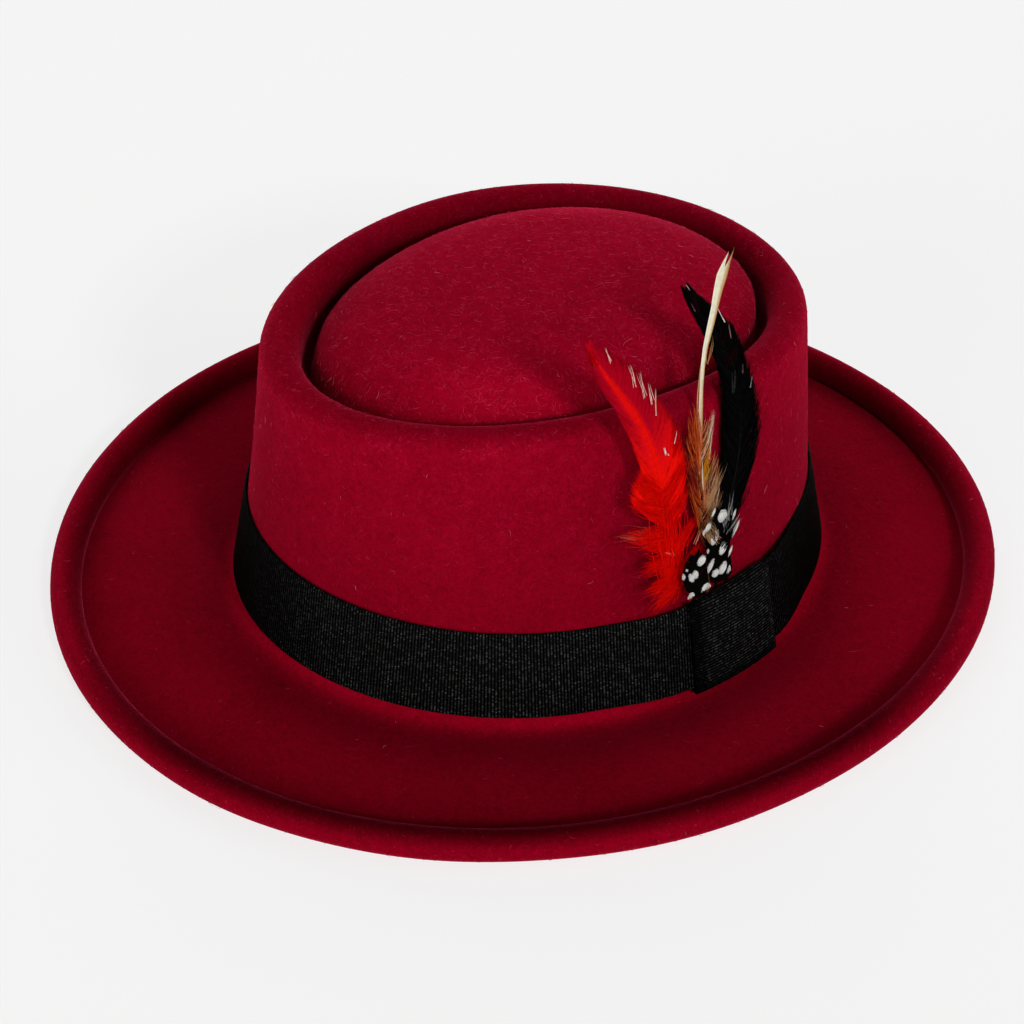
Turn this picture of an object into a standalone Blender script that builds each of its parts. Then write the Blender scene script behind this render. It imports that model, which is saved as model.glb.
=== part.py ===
# A pork pie hat: a felt crown and brim in one, a ribbon, its flat bow and five feathers.
# Metres, +Z up. The front faces -Y, the wearer's left is +X, and the brim rests on z = 0.
import math
from collections import namedtuple

import bmesh
import bpy
from mathutils import Vector

# Felt
FELT = 0.002
SEGMENTS = 64

# Brim, out to its rolled edge
BRIM_HALF_WIDTH = 0.1533
BRIM_HALF_LENGTH = 0.1620
BRIM_EGG = -0.024
BRIM_SIDE_LIFT = 0.0017
BRIM_SQUASH = 0.0003
CURL_RADIUS = 0.0054
CURL_SEAT = 0.0016
CURL_END_DEGREES = 200.0
CURL_STEPS = 9

# Foot of the crown, where the wall meets the brim
FOOT_HALF_WIDTH = 0.0885
FOOT_HALF_LENGTH = 0.1011
FOOT_HEIGHT = 0.0098
FOOT_SIDE_LIFT = -0.0015
FOOT_BACK_LIFT = -0.0013
FOOT_EGG = -0.013
FOOT_CENTRE_Y = 0.0014
FOOT_FILLET = 0.0040

# Wall, at the ribbon's upper edge
WAIST_IN = 0.0047
WAIST_IN_LENGTH = 0.0051

# Rounded rim round the top
RIM_TOP = 0.1059
RIM_RADIUS = 0.0066
RIM_HALF_WIDTH = 0.0678
RIM_HALF_LENGTH = 0.0866
RIM_CENTRE_Y = 0.0031
RIM_EGG = 0.027
RIM_SIDE_LIFT = 0.0024
RIM_BACK_LIFT = -0.0018
RIM_END_DEGREES = 8.0

# Groove inside the rim, and the dome that it runs round
GROOVE_DEPTH = 0.0160
GROOVE_RADIUS = 0.0018
DOME_HALF_WIDTH = 0.0560
DOME_HALF_LENGTH = 0.0752
DOME_CENTRE_Y = 0.0040
DOME_EGG = 0.040
DOME_RISE = 0.0101
DOME_SIDE_LIFT = 0.0017
DOME_FALL = 0.0053
SHOULDER_FALL = 0.0090
SHOULDER_POWER = 8

# Ribbon and the bow that wraps it
RIBBON = 0.0010
RIBBON_HEIGHT = 0.0302
CLEARANCE = 0.0003
BOW_DEGREES = 15.8
BOW_SPAN_DEGREES = 19.6
BOW_STEPS = 8
BOW = 0.0022
BOW_RETURN = 0.0016
POCKET = 0.0026
POCKET_FLAT_DEGREES = 12.0
POCKET_END_DEGREES = 28.0

# Feathers, which stand in the pocket behind the bow
PLUME_DEGREES = 13.8
STEM_DEPTH = 0.0140
VANE = 0.0010
VANE_EDGE = 0.0006
BLACK_HEIGHT = 0.1140
BLACK_REACH = 0.0225
QUILL_HEIGHT = 0.1205
QUILL_REACH = 0.0106
RED_HEIGHT = 0.1140
RED_REACH = 0.0510
TALL_SPOTTED_HEIGHT = 0.0350
TALL_SPOTTED_REACH = 0.0085
SHORT_SPOTTED_HEIGHT = 0.0240
SHORT_SPOTTED_REACH = 0.0200

# Colours
WINE = (0.215, 0.001, 0.009, 1.0)
BLACK = (0.012, 0.012, 0.013, 1.0)
RED = (0.620, 0.006, 0.006, 1.0)
STRAW = (0.760, 0.560, 0.300, 1.0)
INK = (0.008, 0.008, 0.009, 1.0)
SPOTTED = (0.070, 0.070, 0.072, 1.0)

Oval = namedtuple("Oval", "half_width half_length height centre_y egg side_lift back_lift")

FOOT = Oval(
    FOOT_HALF_WIDTH, FOOT_HALF_LENGTH, FOOT_HEIGHT,
    FOOT_CENTRE_Y, FOOT_EGG, FOOT_SIDE_LIFT, FOOT_BACK_LIFT,
)
WAIST = FOOT._replace(
    half_width=FOOT_HALF_WIDTH - WAIST_IN,
    half_length=FOOT_HALF_LENGTH - WAIST_IN_LENGTH,
    height=FOOT_HEIGHT + RIBBON_HEIGHT,
)
RIM = Oval(
    RIM_HALF_WIDTH, RIM_HALF_LENGTH, RIM_TOP - RIM_RADIUS,
    RIM_CENTRE_Y, RIM_EGG, RIM_SIDE_LIFT, RIM_BACK_LIFT,
)
CURL = Oval(
    BRIM_HALF_WIDTH - CURL_RADIUS, BRIM_HALF_LENGTH - CURL_RADIUS,
    CURL_RADIUS + BRIM_SIDE_LIFT - BRIM_SQUASH, 0.0, BRIM_EGG, BRIM_SIDE_LIFT, 0.0,
)


# Ovals
def mix(first, second, share):
    return Oval(*(a + (b - a) * share for a, b in zip(first, second)))


def offset(oval, out, up):
    return oval._replace(
        half_width=oval.half_width + out,
        half_length=oval.half_length + out,
        height=oval.height + up,
    )


def point_on(oval, angle):
    across = math.cos(angle)
    back = math.sin(angle)
    lift = oval.side_lift * math.cos(2.0 * angle) + oval.back_lift * back
    return Vector((
        oval.half_width * across * (1.0 + oval.egg * back),
        oval.half_length * back + oval.centre_y,
        max(oval.height + lift, FELT),
    ))


def arc(centre, radius, start, end, steps):
    turns = [math.radians(start + (end - start) * step / steps) for step in range(steps + 1)]
    return [offset(centre, radius * math.cos(turn), radius * math.sin(turn)) for turn in turns]


# The felt's upper face, ring by ring from the middle of the crown to the end of the curl
def dome_rings():
    rings = []
    for share in (0.22, 0.44, 0.64, 0.80, 0.91, 1.0):
        fall = DOME_FALL * share**2 + SHOULDER_FALL * share**SHOULDER_POWER
        rings.append(Oval(
            DOME_HALF_WIDTH * share, DOME_HALF_LENGTH * share, RIM_TOP + DOME_RISE - fall,
            DOME_CENTRE_Y, DOME_EGG, DOME_SIDE_LIFT * share**2, 0.0,
        ))
    return rings


def groove_rings():
    inset = RIM_RADIUS + GROOVE_RADIUS
    centre = offset(RIM, -inset, RIM_RADIUS - GROOVE_DEPTH + GROOVE_RADIUS)
    return arc(centre, GROOVE_RADIUS, 180.0, 360.0, 4)


def wall_rings():
    top = arc(RIM, RIM_RADIUS, RIM_END_DEGREES, RIM_END_DEGREES, 1)[0]
    return [mix(top, WAIST, share) for share in (0.33, 0.67, 1.0)]


def brim_rings():
    fillet = arc(offset(FOOT, FOOT_FILLET, 0.0), FOOT_FILLET, 180.0, 270.0, 3)
    seat = offset(CURL, -CURL_SEAT, FELT - CURL_RADIUS)
    flat = [mix(fillet[-1], seat, share) for share in (0.33, 0.67, 1.0)]
    return fillet + flat


def curl_rings():
    inside = CURL_RADIUS - FELT
    start = -90.0 + math.degrees(math.asin(CURL_SEAT / CURL_RADIUS))
    rings = arc(CURL, inside, start, CURL_END_DEGREES, CURL_STEPS)
    rings[0] = offset(rings[0], 0.0, FELT - CURL_RADIUS + CURL.height - rings[0].height)
    return rings


def felt_rings():
    rim = arc(RIM, RIM_RADIUS, 180.0, RIM_END_DEGREES, 6)
    return dome_rings() + groove_rings() + rim + wall_rings() + brim_rings() + curl_rings()


# Meshes
def angles():
    return [math.tau * step / SEGMENTS for step in range(SEGMENTS)]


def add_ring(mesh, points):
    return [mesh.verts.new(point) for point in points]


def skin(mesh, first, second):
    count = len(first)
    for step in range(count):
        after = (step + 1) % count
        mesh.faces.new((first[step], second[step], second[after], first[after]))


def cap_and_face_out(mesh, first, last):
    mesh.faces.new(first)
    mesh.faces.new(last)
    bmesh.ops.recalc_face_normals(mesh, faces=mesh.faces[:])


def make_object(name, mesh, collection, material):
    data = bpy.data.meshes.new(name)
    mesh.to_mesh(data)
    mesh.free()
    data.materials.append(material)
    data.shade_smooth()
    obj = bpy.data.objects.new(name, data)
    collection.objects.link(obj)
    return obj


def make_material(name, colour, roughness):
    material = bpy.data.materials.new(name)
    material.use_nodes = True
    shader = material.node_tree.nodes["Principled BSDF"]
    shader.inputs["Base Color"].default_value = colour
    shader.inputs["Roughness"].default_value = roughness
    return material


def apply_modifiers(obj):
    graph = bpy.context.evaluated_depsgraph_get()
    data = bpy.data.meshes.new_from_object(obj.evaluated_get(graph))
    obj.modifiers.clear()
    obj.data = data


# The felt: one sheet, thickened inwards
def make_felt(collection):
    mesh = bmesh.new()
    top = mesh.verts.new((0.0, DOME_CENTRE_Y, RIM_TOP + DOME_RISE))
    rings = [
        add_ring(mesh, [point_on(oval, angle) for angle in angles()]) for oval in felt_rings()
    ]
    for step in range(SEGMENTS):
        mesh.faces.new((top, rings[0][step], rings[0][(step + 1) % SEGMENTS]))
    for first, second in zip(rings, rings[1:]):
        skin(mesh, first, second)
    felt = make_object("felt_body", mesh, collection, make_material("felt", WINE, 0.95))
    wall = felt.modifiers.new("thickness", "SOLIDIFY")
    wall.thickness = FELT
    wall.offset = -1.0
    wall.use_even_offset = True
    apply_modifiers(felt)
    # The lowest points lie flat on the surface that the hat rests on
    for vertex in felt.data.vertices:
        if vertex.co.z < 0.1 * FELT:
            vertex.co.z = 0.0
    return felt


# The ribbon stands a clearance off the wall, and further off where the feathers pass behind it
def pocket(angle):
    away = abs(math.degrees(angle) - BOW_DEGREES)
    away = min(away, 360.0 - away)
    share = (POCKET_END_DEGREES - away) / (POCKET_END_DEGREES - POCKET_FLAT_DEGREES)
    share = min(max(share, 0.0), 1.0)
    return POCKET * share * share * (3.0 - 2.0 * share)


def ribbon_point(angle, out, up):
    share = up / RIBBON_HEIGHT
    middle = mix(FOOT, WAIST, share)
    return point_on(offset(middle, CLEARANCE + pocket(angle) + out, 0.0), angle)


def make_ribbon(collection):
    mesh = bmesh.new()
    corners = ((0.0, 0.0), (RIBBON, 0.0), (RIBBON, RIBBON_HEIGHT), (0.0, RIBBON_HEIGHT))
    rings = [
        add_ring(mesh, [ribbon_point(angle, out, up) for angle in angles()])
        for out, up in corners
    ]
    for first, second in zip(rings, rings[1:] + rings[:1]):
        skin(mesh, first, second)
    bmesh.ops.recalc_face_normals(mesh, faces=mesh.faces[:])
    return make_object(
        "ribbon_band", mesh, collection, make_material("ribbon", BLACK, 0.6)
    )


# The bow's flat knot: a short ribbon over the band, with its ends turned in above and below
def make_bow(collection):
    mesh = bmesh.new()
    inner = RIBBON + CLEARANCE
    outer = inner + BOW
    under = -CLEARANCE - RIBBON
    over = RIBBON_HEIGHT - under
    turned = inner - BOW_RETURN
    section = (
        (turned, under), (outer, under), (outer, over), (turned, over),
        (turned, over - RIBBON), (inner, over - RIBBON),
        (inner, under + RIBBON), (turned, under + RIBBON),
    )
    slices = []
    for step in range(BOW_STEPS + 1):
        degrees = BOW_DEGREES + BOW_SPAN_DEGREES * (step / BOW_STEPS - 0.5)
        angle = math.radians(degrees)
        slices.append(add_ring(mesh, [ribbon_point(angle, out, up) for out, up in section]))
    for first, second in zip(slices, slices[1:]):
        skin(mesh, first, second)
    cap_and_face_out(mesh, slices[0], slices[-1])
    return make_object("ribbon_bow", mesh, collection, bpy.data.materials["ribbon"])


# Feathers, laid out beside the wall: along towards the back, up the wall, and out from it
def plume_point(along, up, out):
    angle = math.radians(PLUME_DEGREES)
    foot = point_on(WAIST, angle)
    tangent = Vector((
        -WAIST.half_width * math.sin(angle), WAIST.half_length * math.cos(angle), 0.0
    )).normalized()
    outward = Vector((tangent.y, -tangent.x, 0.0))
    rim = point_on(offset(RIM, RIM_RADIUS, 0.0), angle)
    rise = Vector((0.0, 0.0, 1.0)) * (rim.z - foot.z) - outward * (foot - rim).dot(outward)
    rise.normalize()
    return foot + tangent * along + rise * up + rise.cross(tangent) * -out


# Rows from the stem's end to the tip. Each is up as a share of the height, then the left and
# right edges and the way out from the wall as shares of the reach.
Feather = namedtuple("Feather", "name material height reach rows")
FEATHERS = (
    Feather("feather_black", "black_feather", BLACK_HEIGHT, BLACK_REACH, (
        (0.00, 0.01, 0.09, 0.045),
        (0.13, 0.13, 0.28, 0.055),
        (0.22, 0.21, 0.49, 0.060),
        (0.29, 0.21, 0.68, 0.062),
        (0.35, 0.21, 0.85, 0.063),
        (0.42, 0.23, 0.99, 0.064),
        (0.50, 0.25, 1.00, 0.065),
        (0.59, 0.28, 0.90, 0.066),
        (0.71, 0.27, 0.74, 0.067),
        (0.81, 0.08, 0.57, 0.068),
        (0.91, -0.12, 0.20, 0.070),
        (0.98, -0.25, -0.16, 0.072),
    )),
    Feather("feather_quill", "straw_feather", QUILL_HEIGHT, QUILL_REACH, (
        (0.00, -0.33, -0.16, 0.09),
        (0.07, -0.38, -0.18, 0.28),
        (0.17, -0.52, -0.19, 0.30),
        (0.24, -0.63, 0.05, 0.31),
        (0.32, -0.83, 0.30, 0.33),
        (0.40, -0.93, 0.24, 0.35),
        (0.47, -1.00, 0.13, 0.37),
        (0.57, -0.93, 0.18, 0.40),
        (0.62, -0.80, -0.20, 0.41),
        (0.65, -0.53, -0.28, 0.42),
        (0.74, -0.28, 0.02, 0.46),
        (0.86, 0.08, 0.44, 0.51),
        (0.96, 0.57, 0.94, 0.56),
        (1.00, 1.05, 1.17, 0.58),
    )),
    Feather("feather_red", "red_feather", RED_HEIGHT, RED_REACH, (
        (0.00, -0.215, -0.180, 0.019),
        (0.035, -0.245, -0.185, 0.060),
        (0.06, -0.540, -0.185, 0.100),
        (0.16, -0.600, -0.165, 0.105),
        (0.24, -0.615, -0.160, 0.108),
        (0.32, -0.500, -0.100, 0.110),
        (0.40, -0.625, -0.240, 0.115),
        (0.46, -0.720, -0.240, 0.120),
        (0.50, -0.690, -0.240, 0.123),
        (0.54, -0.610, -0.250, 0.127),
        (0.66, -0.695, -0.365, 0.140),
        (0.76, -0.795, -0.505, 0.150),
        (0.86, -0.915, -0.660, 0.160),
        (0.94, -0.970, -0.810, 0.170),
        (1.00, -1.000, -0.975, 0.178),
    )),
    Feather("feather_spotted_tall", "spotted_feather", TALL_SPOTTED_HEIGHT, TALL_SPOTTED_REACH, (
        (0.00, 0.50, 0.70, 0.11),
        (0.09, 0.49, 0.72, 0.36),
        (0.22, -0.75, 0.38, 0.82),
        (0.48, -0.95, 0.27, 0.90),
        (0.76, -0.98, 0.30, 0.99),
        (0.91, -0.55, 0.32, 1.03),
        (1.00, -0.35, 0.02, 1.06),
    )),
    Feather("feather_spotted_short", "spotted_feather", SHORT_SPOTTED_HEIGHT, SHORT_SPOTTED_REACH, (
        (0.00, -0.335, -0.250, 0.048),
        (0.12, -0.350, -0.255, 0.170),
        (0.30, -0.760, -0.425, 0.430),
        (0.46, -0.910, -0.430, 0.445),
        (0.60, -0.970, -0.440, 0.455),
        (0.75, -0.990, -0.480, 0.470),
        (0.92, -0.910, -0.550, 0.490),
        (1.00, -0.820, -0.620, 0.500),
    )),
)


def feather_section(mesh, left, right, up, out):
    middle = 0.5 * (left + right)
    edge = 0.5 * VANE_EDGE
    ridge = 0.5 * VANE
    corners = (
        (left, edge), (middle, ridge), (right, edge),
        (right, -edge), (middle, -ridge), (left, -edge),
    )
    return add_ring(mesh, [plume_point(along, up, out + rise) for along, rise in corners])


def make_feather(collection, feather):
    mesh = bmesh.new()
    _, left, right, out = feather.rows[0]
    # The stem runs down behind the ribbon
    sections = [feather_section(
        mesh, left * feather.reach, right * feather.reach, -STEM_DEPTH, out * feather.reach
    )]
    for up, left, right, out in feather.rows:
        sections.append(feather_section(
            mesh, left * feather.reach, right * feather.reach,
            up * feather.height, out * feather.reach,
        ))
    for first, second in zip(sections, sections[1:]):
        skin(mesh, first, second)
    cap_and_face_out(mesh, sections[0], sections[-1])
    return make_object(feather.name, mesh, collection, bpy.data.materials[feather.material])


def main():
    for obj in list(bpy.data.objects):
        bpy.data.objects.remove(obj)
    collection = bpy.data.collections.new("pork_pie_hat")
    bpy.context.scene.collection.children.link(collection)
    make_felt(collection)
    make_ribbon(collection)
    make_bow(collection)
    make_material("black_feather", INK, 0.6)
    make_material("straw_feather", STRAW, 0.6)
    make_material("red_feather", RED, 0.6)
    make_material("spotted_feather", SPOTTED, 0.6)
    for feather in FEATHERS:
        make_feather(collection, feather)


main()
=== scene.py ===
# A pork pie hat: fuzzy wine felt, a ribbed ribbon with a flat bow, and a spray of five feathers.
# Metres, +Z up. The front faces -Y, and the bow and feathers are at +X.
import math
from collections import namedtuple

import bpy
import numpy as np
from bpy.props import FloatProperty, FloatVectorProperty, IntProperty, PointerProperty
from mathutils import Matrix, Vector


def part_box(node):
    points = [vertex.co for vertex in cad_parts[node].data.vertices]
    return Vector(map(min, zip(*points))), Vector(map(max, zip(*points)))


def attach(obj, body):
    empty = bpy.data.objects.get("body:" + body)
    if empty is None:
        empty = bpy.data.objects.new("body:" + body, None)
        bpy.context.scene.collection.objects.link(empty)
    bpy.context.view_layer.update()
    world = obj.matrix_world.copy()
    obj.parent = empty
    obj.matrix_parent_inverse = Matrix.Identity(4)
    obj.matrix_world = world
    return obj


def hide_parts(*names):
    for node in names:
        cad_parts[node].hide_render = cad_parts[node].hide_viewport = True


bl_info = {
    "name": "Pork pie hat",
    "version": (1, 0, 0),
    "blender": (4, 5, 0),
    "location": "View3D > Sidebar > Hat",
    "description": "Builds a felt hat with its ribbon, bow and feathers, and a plain stage",
    "category": "Add Mesh",
}

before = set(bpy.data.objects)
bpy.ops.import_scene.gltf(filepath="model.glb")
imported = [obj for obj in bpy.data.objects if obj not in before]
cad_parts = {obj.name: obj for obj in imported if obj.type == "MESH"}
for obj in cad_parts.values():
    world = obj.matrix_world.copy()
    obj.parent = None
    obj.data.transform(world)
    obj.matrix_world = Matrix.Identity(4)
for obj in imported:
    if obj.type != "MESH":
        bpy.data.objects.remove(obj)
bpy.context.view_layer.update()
FELT_LOW, FELT_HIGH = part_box("felt_body")
BODY = "root"
MM = 0.001

# Felt
FELT = 0.002
BRIM_HALF_WIDTH = 0.5 * (FELT_HIGH.x - FELT_LOW.x)
BRIM_HALF_LENGTH = 0.5 * (FELT_HIGH.y - FELT_LOW.y)
BRIM_EGG = -0.024
BRIM_SIDE_LIFT = 0.0017
BRIM_SQUASH = 0.0003
CURL_RADIUS = 0.0054
CURL_SEAT = 0.0016
CURL_START_DEGREES = -90.0 + math.degrees(math.asin(CURL_SEAT / CURL_RADIUS))
CURL_END_DEGREES = 200.0
FOOT_FILLET = 0.0040
RIM_RADIUS = 0.0066
RIM_END_DEGREES = 8.0
GROOVE_DEPTH = 0.0160
GROOVE_RADIUS = 0.0018
DOME_RISE = 0.0101
DOME_FALL = 0.0053
SHOULDER_FALL = 0.0090
SHOULDER_POWER = 8
RIM_TOP = FELT_HIGH.z - DOME_RISE
WAIST_IN = 0.0047
WAIST_IN_LENGTH = 0.0051

SWELLS = 16
SWELL_RATE = 45.0
SWELL_SEED = 11
# The way round the hat to the side the camera looks from, from which the painted light and shade on the
# felt and band are laid out
CAMERA_SIDE = math.radians(-27.9)
# Rings in each stretch of the felt, from the middle of the crown to the end of the roll
RINGS = {
    "dome": 30, "shoulder": 5, "groove": 10, "inner": 5, "rim": 18, "wall": 20, "foot": 12,
    "fillet": 7, "flat": 20, "curl": 26,
}
# Painted light and shade of each stretch, from its first ring to its last: darker into the groove, the
# brim's crease and inside the roll, a painted highlight on the fillet under the band
STRETCH_PAINTED_LIGHT = {
    "dome": (1.0, 1.0), "shoulder": (0.95, 0.70), "groove": (0.55, 0.50), "inner": (0.55, 0.85),
    "rim": (0.95, 1.05), "wall": (1.0, 0.88, 0.90), "fillet": (1.35, 1.15),
    "flat": (0.64, 0.72, 0.97, 1.06, 1.02, 0.80, 0.36), "curl": (0.30, 0.25),
}

# Ribbon, bow and feathers
RIBBON = 0.0010
RIBBON_HEIGHT = 0.0302
CLEARANCE = 0.0003
BAND_STEPS = 4001
BAND_ROWS = 12
RIB_STEPS = 5
RIB_LEAN = 0.006
RIB_LEANS = 7.0
SELVEDGE = 0.0005
SELVEDGE_ROUND = 0.0002
SELVEDGE_WAVE = 0.00014
THREAD_STRAY = 0.00002
BOW = 0.0022
BOW_DEGREES = 15.8
BOW_SPAN_DEGREES = 19.6
BOW_RETURN = 0.0016
BOW_HALF_WIDTH = 0.0165
KNOT_COLUMNS = 23
KNOT_BACK_COLUMNS = 9
KNOT_LAYER = 0.0009
KNOT_LAYER_GAP = 0.0003
KNOT_BACK_NARROWER = 0.0006
KNOT_BACK_SHORTER = 0.0004
KNOT_FOLD = 0.0011
KNOT_HEM = 0.0022
KNOT_EDGE_WAVE = 0.00010
KNOT_SWELL = 0.0003
KNOT_SWELL_REACH = 0.012
POCKET = 0.0026
POCKET_FLAT_DEGREES = 12.0
POCKET_END_DEGREES = 28.0
PLUME_DEGREES = 13.8
STEM_DEPTH = 0.0140
# Painted light on the band, by how near it faces the camera side: pale facing it, dark where it turns away
BAND_PAINTED_LIGHT = (
    (-0.5, 0.9), (0.0, 0.35), (0.15, 0.12), (0.35, 0.12), (0.60, 0.45), (0.80, 0.90), (1.0, 1.10),
)

Oval = namedtuple("Oval", "half_width half_length height centre_y egg side_lift back_lift")

FOOT = Oval(0.0885, 0.1011, 0.0098, 0.0014, -0.013, -0.0015, -0.0013)
WAIST = FOOT._replace(
    half_width=FOOT.half_width - WAIST_IN,
    half_length=FOOT.half_length - WAIST_IN_LENGTH,
    height=FOOT.height + RIBBON_HEIGHT,
)
RIM = Oval(0.0678, 0.0866, RIM_TOP - RIM_RADIUS, 0.0031, 0.027, 0.0024, -0.0018)
DOME = Oval(0.0560, 0.0752, RIM_TOP + DOME_RISE, 0.0040, 0.040, 0.0017, 0.0)
CURL = Oval(
    BRIM_HALF_WIDTH - CURL_RADIUS, BRIM_HALF_LENGTH - CURL_RADIUS,
    CURL_RADIUS + BRIM_SIDE_LIFT - BRIM_SQUASH, 0.0, BRIM_EGG, BRIM_SIDE_LIFT, 0.0,
)


# Settings that a user would change
def length_setting(name, description, default):
    return FloatProperty(
        name=name, description=description, default=default, precision=5, unit="LENGTH"
    )


def colour_setting(name, description, default, **limits):
    return FloatVectorProperty(
        name=name, description=description, default=default, subtype="COLOR", **limits
    )


class FeltSettings(bpy.types.PropertyGroup):
    segments: IntProperty(
        name="Segments", description="Faces once round the felt", default=256, min=32
    )
    unevenness: length_setting("Unevenness", "How far the felt strays from a true form", 0.00025)
    deep: colour_setting("Deep colour", "Felt between raised fibres", (0.200, 0.0004, 0.0080))
    bright: colour_setting("Bright colour", "Felt on raised fibres", (0.370, 0.0010, 0.0170))
    fibre: colour_setting("Fibre colour", "Curled fibres in its face", (0.55, 0.0120, 0.0560))
    # Flat and raised multiply the colour: painted shade on the brim, painted light on the dome
    flat: colour_setting(
        "Painted brim shade", "What the colour is multiplied by on the brim", (0.88, 0.75, 0.82)
    )
    raised: colour_setting(
        "Painted dome light", "What the colour is multiplied by on the dome", (1.38, 1.60, 1.45), max=2.0
    )


class FuzzSettings(bpy.types.PropertyGroup):
    count: IntProperty(
        name="Fibres", description="Loose fibres that stand on the felt", default=20000, min=1
    )
    length: length_setting("Length", "Usual length of a loose fibre", 0.0020)
    width: length_setting("Width", "Width of a loose fibre", 0.00010)
    colour: colour_setting("Colour", "Pale loose fibres", (0.80, 0.055, 0.130))
    low: colour_setting("Low colour", "Loose fibres lost in the felt", (0.33, 0.001, 0.016))
    palest: colour_setting("Palest colour", "The few that stand out", (0.75, 0.20, 0.26))


class RibbonSettings(bpy.types.PropertyGroup):
    rib_pitch: length_setting("Rib pitch", "From one rib to the next", 0.00106)
    rib_depth: length_setting("Rib depth", "Height of a rib over its valleys", 0.00022)
    bead: length_setting("Bead", "From one bead of thread to the next along a rib", 0.00066)
    colour: colour_setting("Colour", "Colour of the ribbon's ribs", (0.0045, 0.0046, 0.0045))


class FeatherSettings(bpy.types.PropertyGroup):
    barb_spacing: length_setting(
        "Barb spacing", "From one barb to the next along a shaft", 0.00022
    )
    barb_width: length_setting("Barb width", "Width of a barb at its root", 0.00046)
    shaft_width: length_setting("Shaft width", "Width of a shaft at its foot", 0.0011)


class StageSettings(bpy.types.PropertyGroup):
    azimuth: FloatProperty(
        name="Azimuth", description="Where the camera stands, round from the front",
        default=math.radians(62.1), subtype="ANGLE",
    )
    elevation: FloatProperty(
        name="Elevation", description="How far the camera looks down",
        default=math.radians(36.588), subtype="ANGLE",
    )
    distance: length_setting("Distance", "From the camera to what it aims at", 1.32836)
    lens: FloatProperty(name="Lens", description="Focal length in millimetres", default=139.945)
    floor: colour_setting("Floor colour", "Colour of the plain floor", (0.30, 0.30, 0.30))
    glow: FloatProperty(
        name="Floor glow", description="Light that the floor gives by itself", default=2.50
    )


# Shader nodes
class Value:
    """A shader socket whose sums and products are Math nodes."""

    def __init__(self, shader, socket):
        self.shader = shader
        self.socket = socket

    def __add__(self, other):
        return self.shader.math("ADD", self, other)

    def __radd__(self, other):
        return self.shader.math("ADD", other, self)

    def __sub__(self, other):
        return self.shader.math("SUBTRACT", self, other)

    def __rsub__(self, other):
        return self.shader.math("SUBTRACT", other, self)

    def __mul__(self, other):
        return self.shader.math("MULTIPLY", self, other)

    def __rmul__(self, other):
        return self.shader.math("MULTIPLY", other, self)

    def __truediv__(self, other):
        return self.shader.math("DIVIDE", self, other)

    def __pow__(self, other):
        return self.shader.math("POWER", self, other)

    def __abs__(self):
        return self.shader.math("ABSOLUTE", self)


def socket_name(name):
    return name.replace("_", " ").title().replace("Ior", "IOR")


class Shader:
    """The nodes of one material, whose Principled BSDF starts with its even values."""

    def __init__(self, name, **even):
        self.material = bpy.data.materials.new(name)
        self.material.use_nodes = True
        self.tree = self.material.node_tree
        self.surface = self.tree.nodes["Principled BSDF"]
        for name, value in even.items():
            self.surface.inputs[socket_name(name)].default_value = value

    def node(self, kind, output=0, settings=None, **sockets):
        made = self.tree.nodes.new(kind)
        for name, value in (settings or {}).items():
            setattr(made, name, value)
        for name, value in sockets.items():
            which = int(name[1:]) if name[0] == "_" else socket_name(name)
            self.feed(made.inputs[which], value)
        return Value(self, made.outputs[output])

    def feed(self, socket, value):
        if isinstance(value, Value):
            self.tree.links.new(value.socket, socket)
        else:
            socket.default_value = value

    def math(self, operation, *values):
        sockets = {f"_{number}": value for number, value in enumerate(values)}
        return self.node("ShaderNodeMath", settings={"operation": operation}, **sockets)

    def limit(self, value, low, high):
        return self.node("ShaderNodeMapRange", value=value, from_min=low, from_max=high)

    def mix(self, factor, first, second):
        colours = [
            colour if isinstance(colour, Value) else (*colour[:3], 1.0)
            for colour in (first, second)
        ]
        return self.node(
            "ShaderNodeMix", 2, {"data_type": "RGBA"}, _0=factor, _6=colours[0], _7=colours[1]
        )

    def noise(self, scale, detail=2.0, distortion=0.0, roughness=0.5):
        return self.node(
            "ShaderNodeTexNoise", vector=self.coordinates("Object"), scale=scale, detail=detail,
            distortion=distortion, roughness=roughness,
        )

    def coordinates(self, kind):
        return self.node("ShaderNodeTexCoord", kind)

    def tint(self):
        return self.node("ShaderNodeAttribute", settings={"attribute_name": "tint"})

    def part(self, vector, which):
        return self.node("ShaderNodeSeparateXYZ", which, _0=vector)

    def multiply(self, first, second):
        product = self.mix(1.0, first, second)
        product.socket.node.blend_type = "MULTIPLY"
        return product

    def colour(self, value):
        self.feed(self.surface.inputs["Base Color"], value)

    def rough(self, value):
        self.feed(self.surface.inputs["Roughness"], value)

    def bump(self, height, depth):
        bumped = self.node("ShaderNodeBump", height=height, distance=depth, strength=1.0)
        self.feed(self.surface.inputs["Normal"], bumped)


# How fine the noises in the cloths are, in spots a metre
NAP_SCALE, GRAIN_SCALE, CLOUD_SCALE = 420.0, 2300.0, 30.0
CURL_SCALE, CURL_GAP_SCALE = 560.0, 190.0
BEAD_GLINT_SCALE, STREAK_SCALE = 260.0, 700.0
# Heights between which the brim's painted shade gives way to the wall's colour, the curled fibres come in,
# and the dome's painted light starts
FLAT_TO_WALL = (0.008, 0.030)
FIBRES_START = (0.045, 0.095)
DOME_STARTS = (0.055, 0.060)
SHEEN_COLOUR = (1.0, 0.06, 0.15, 1.0)


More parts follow.
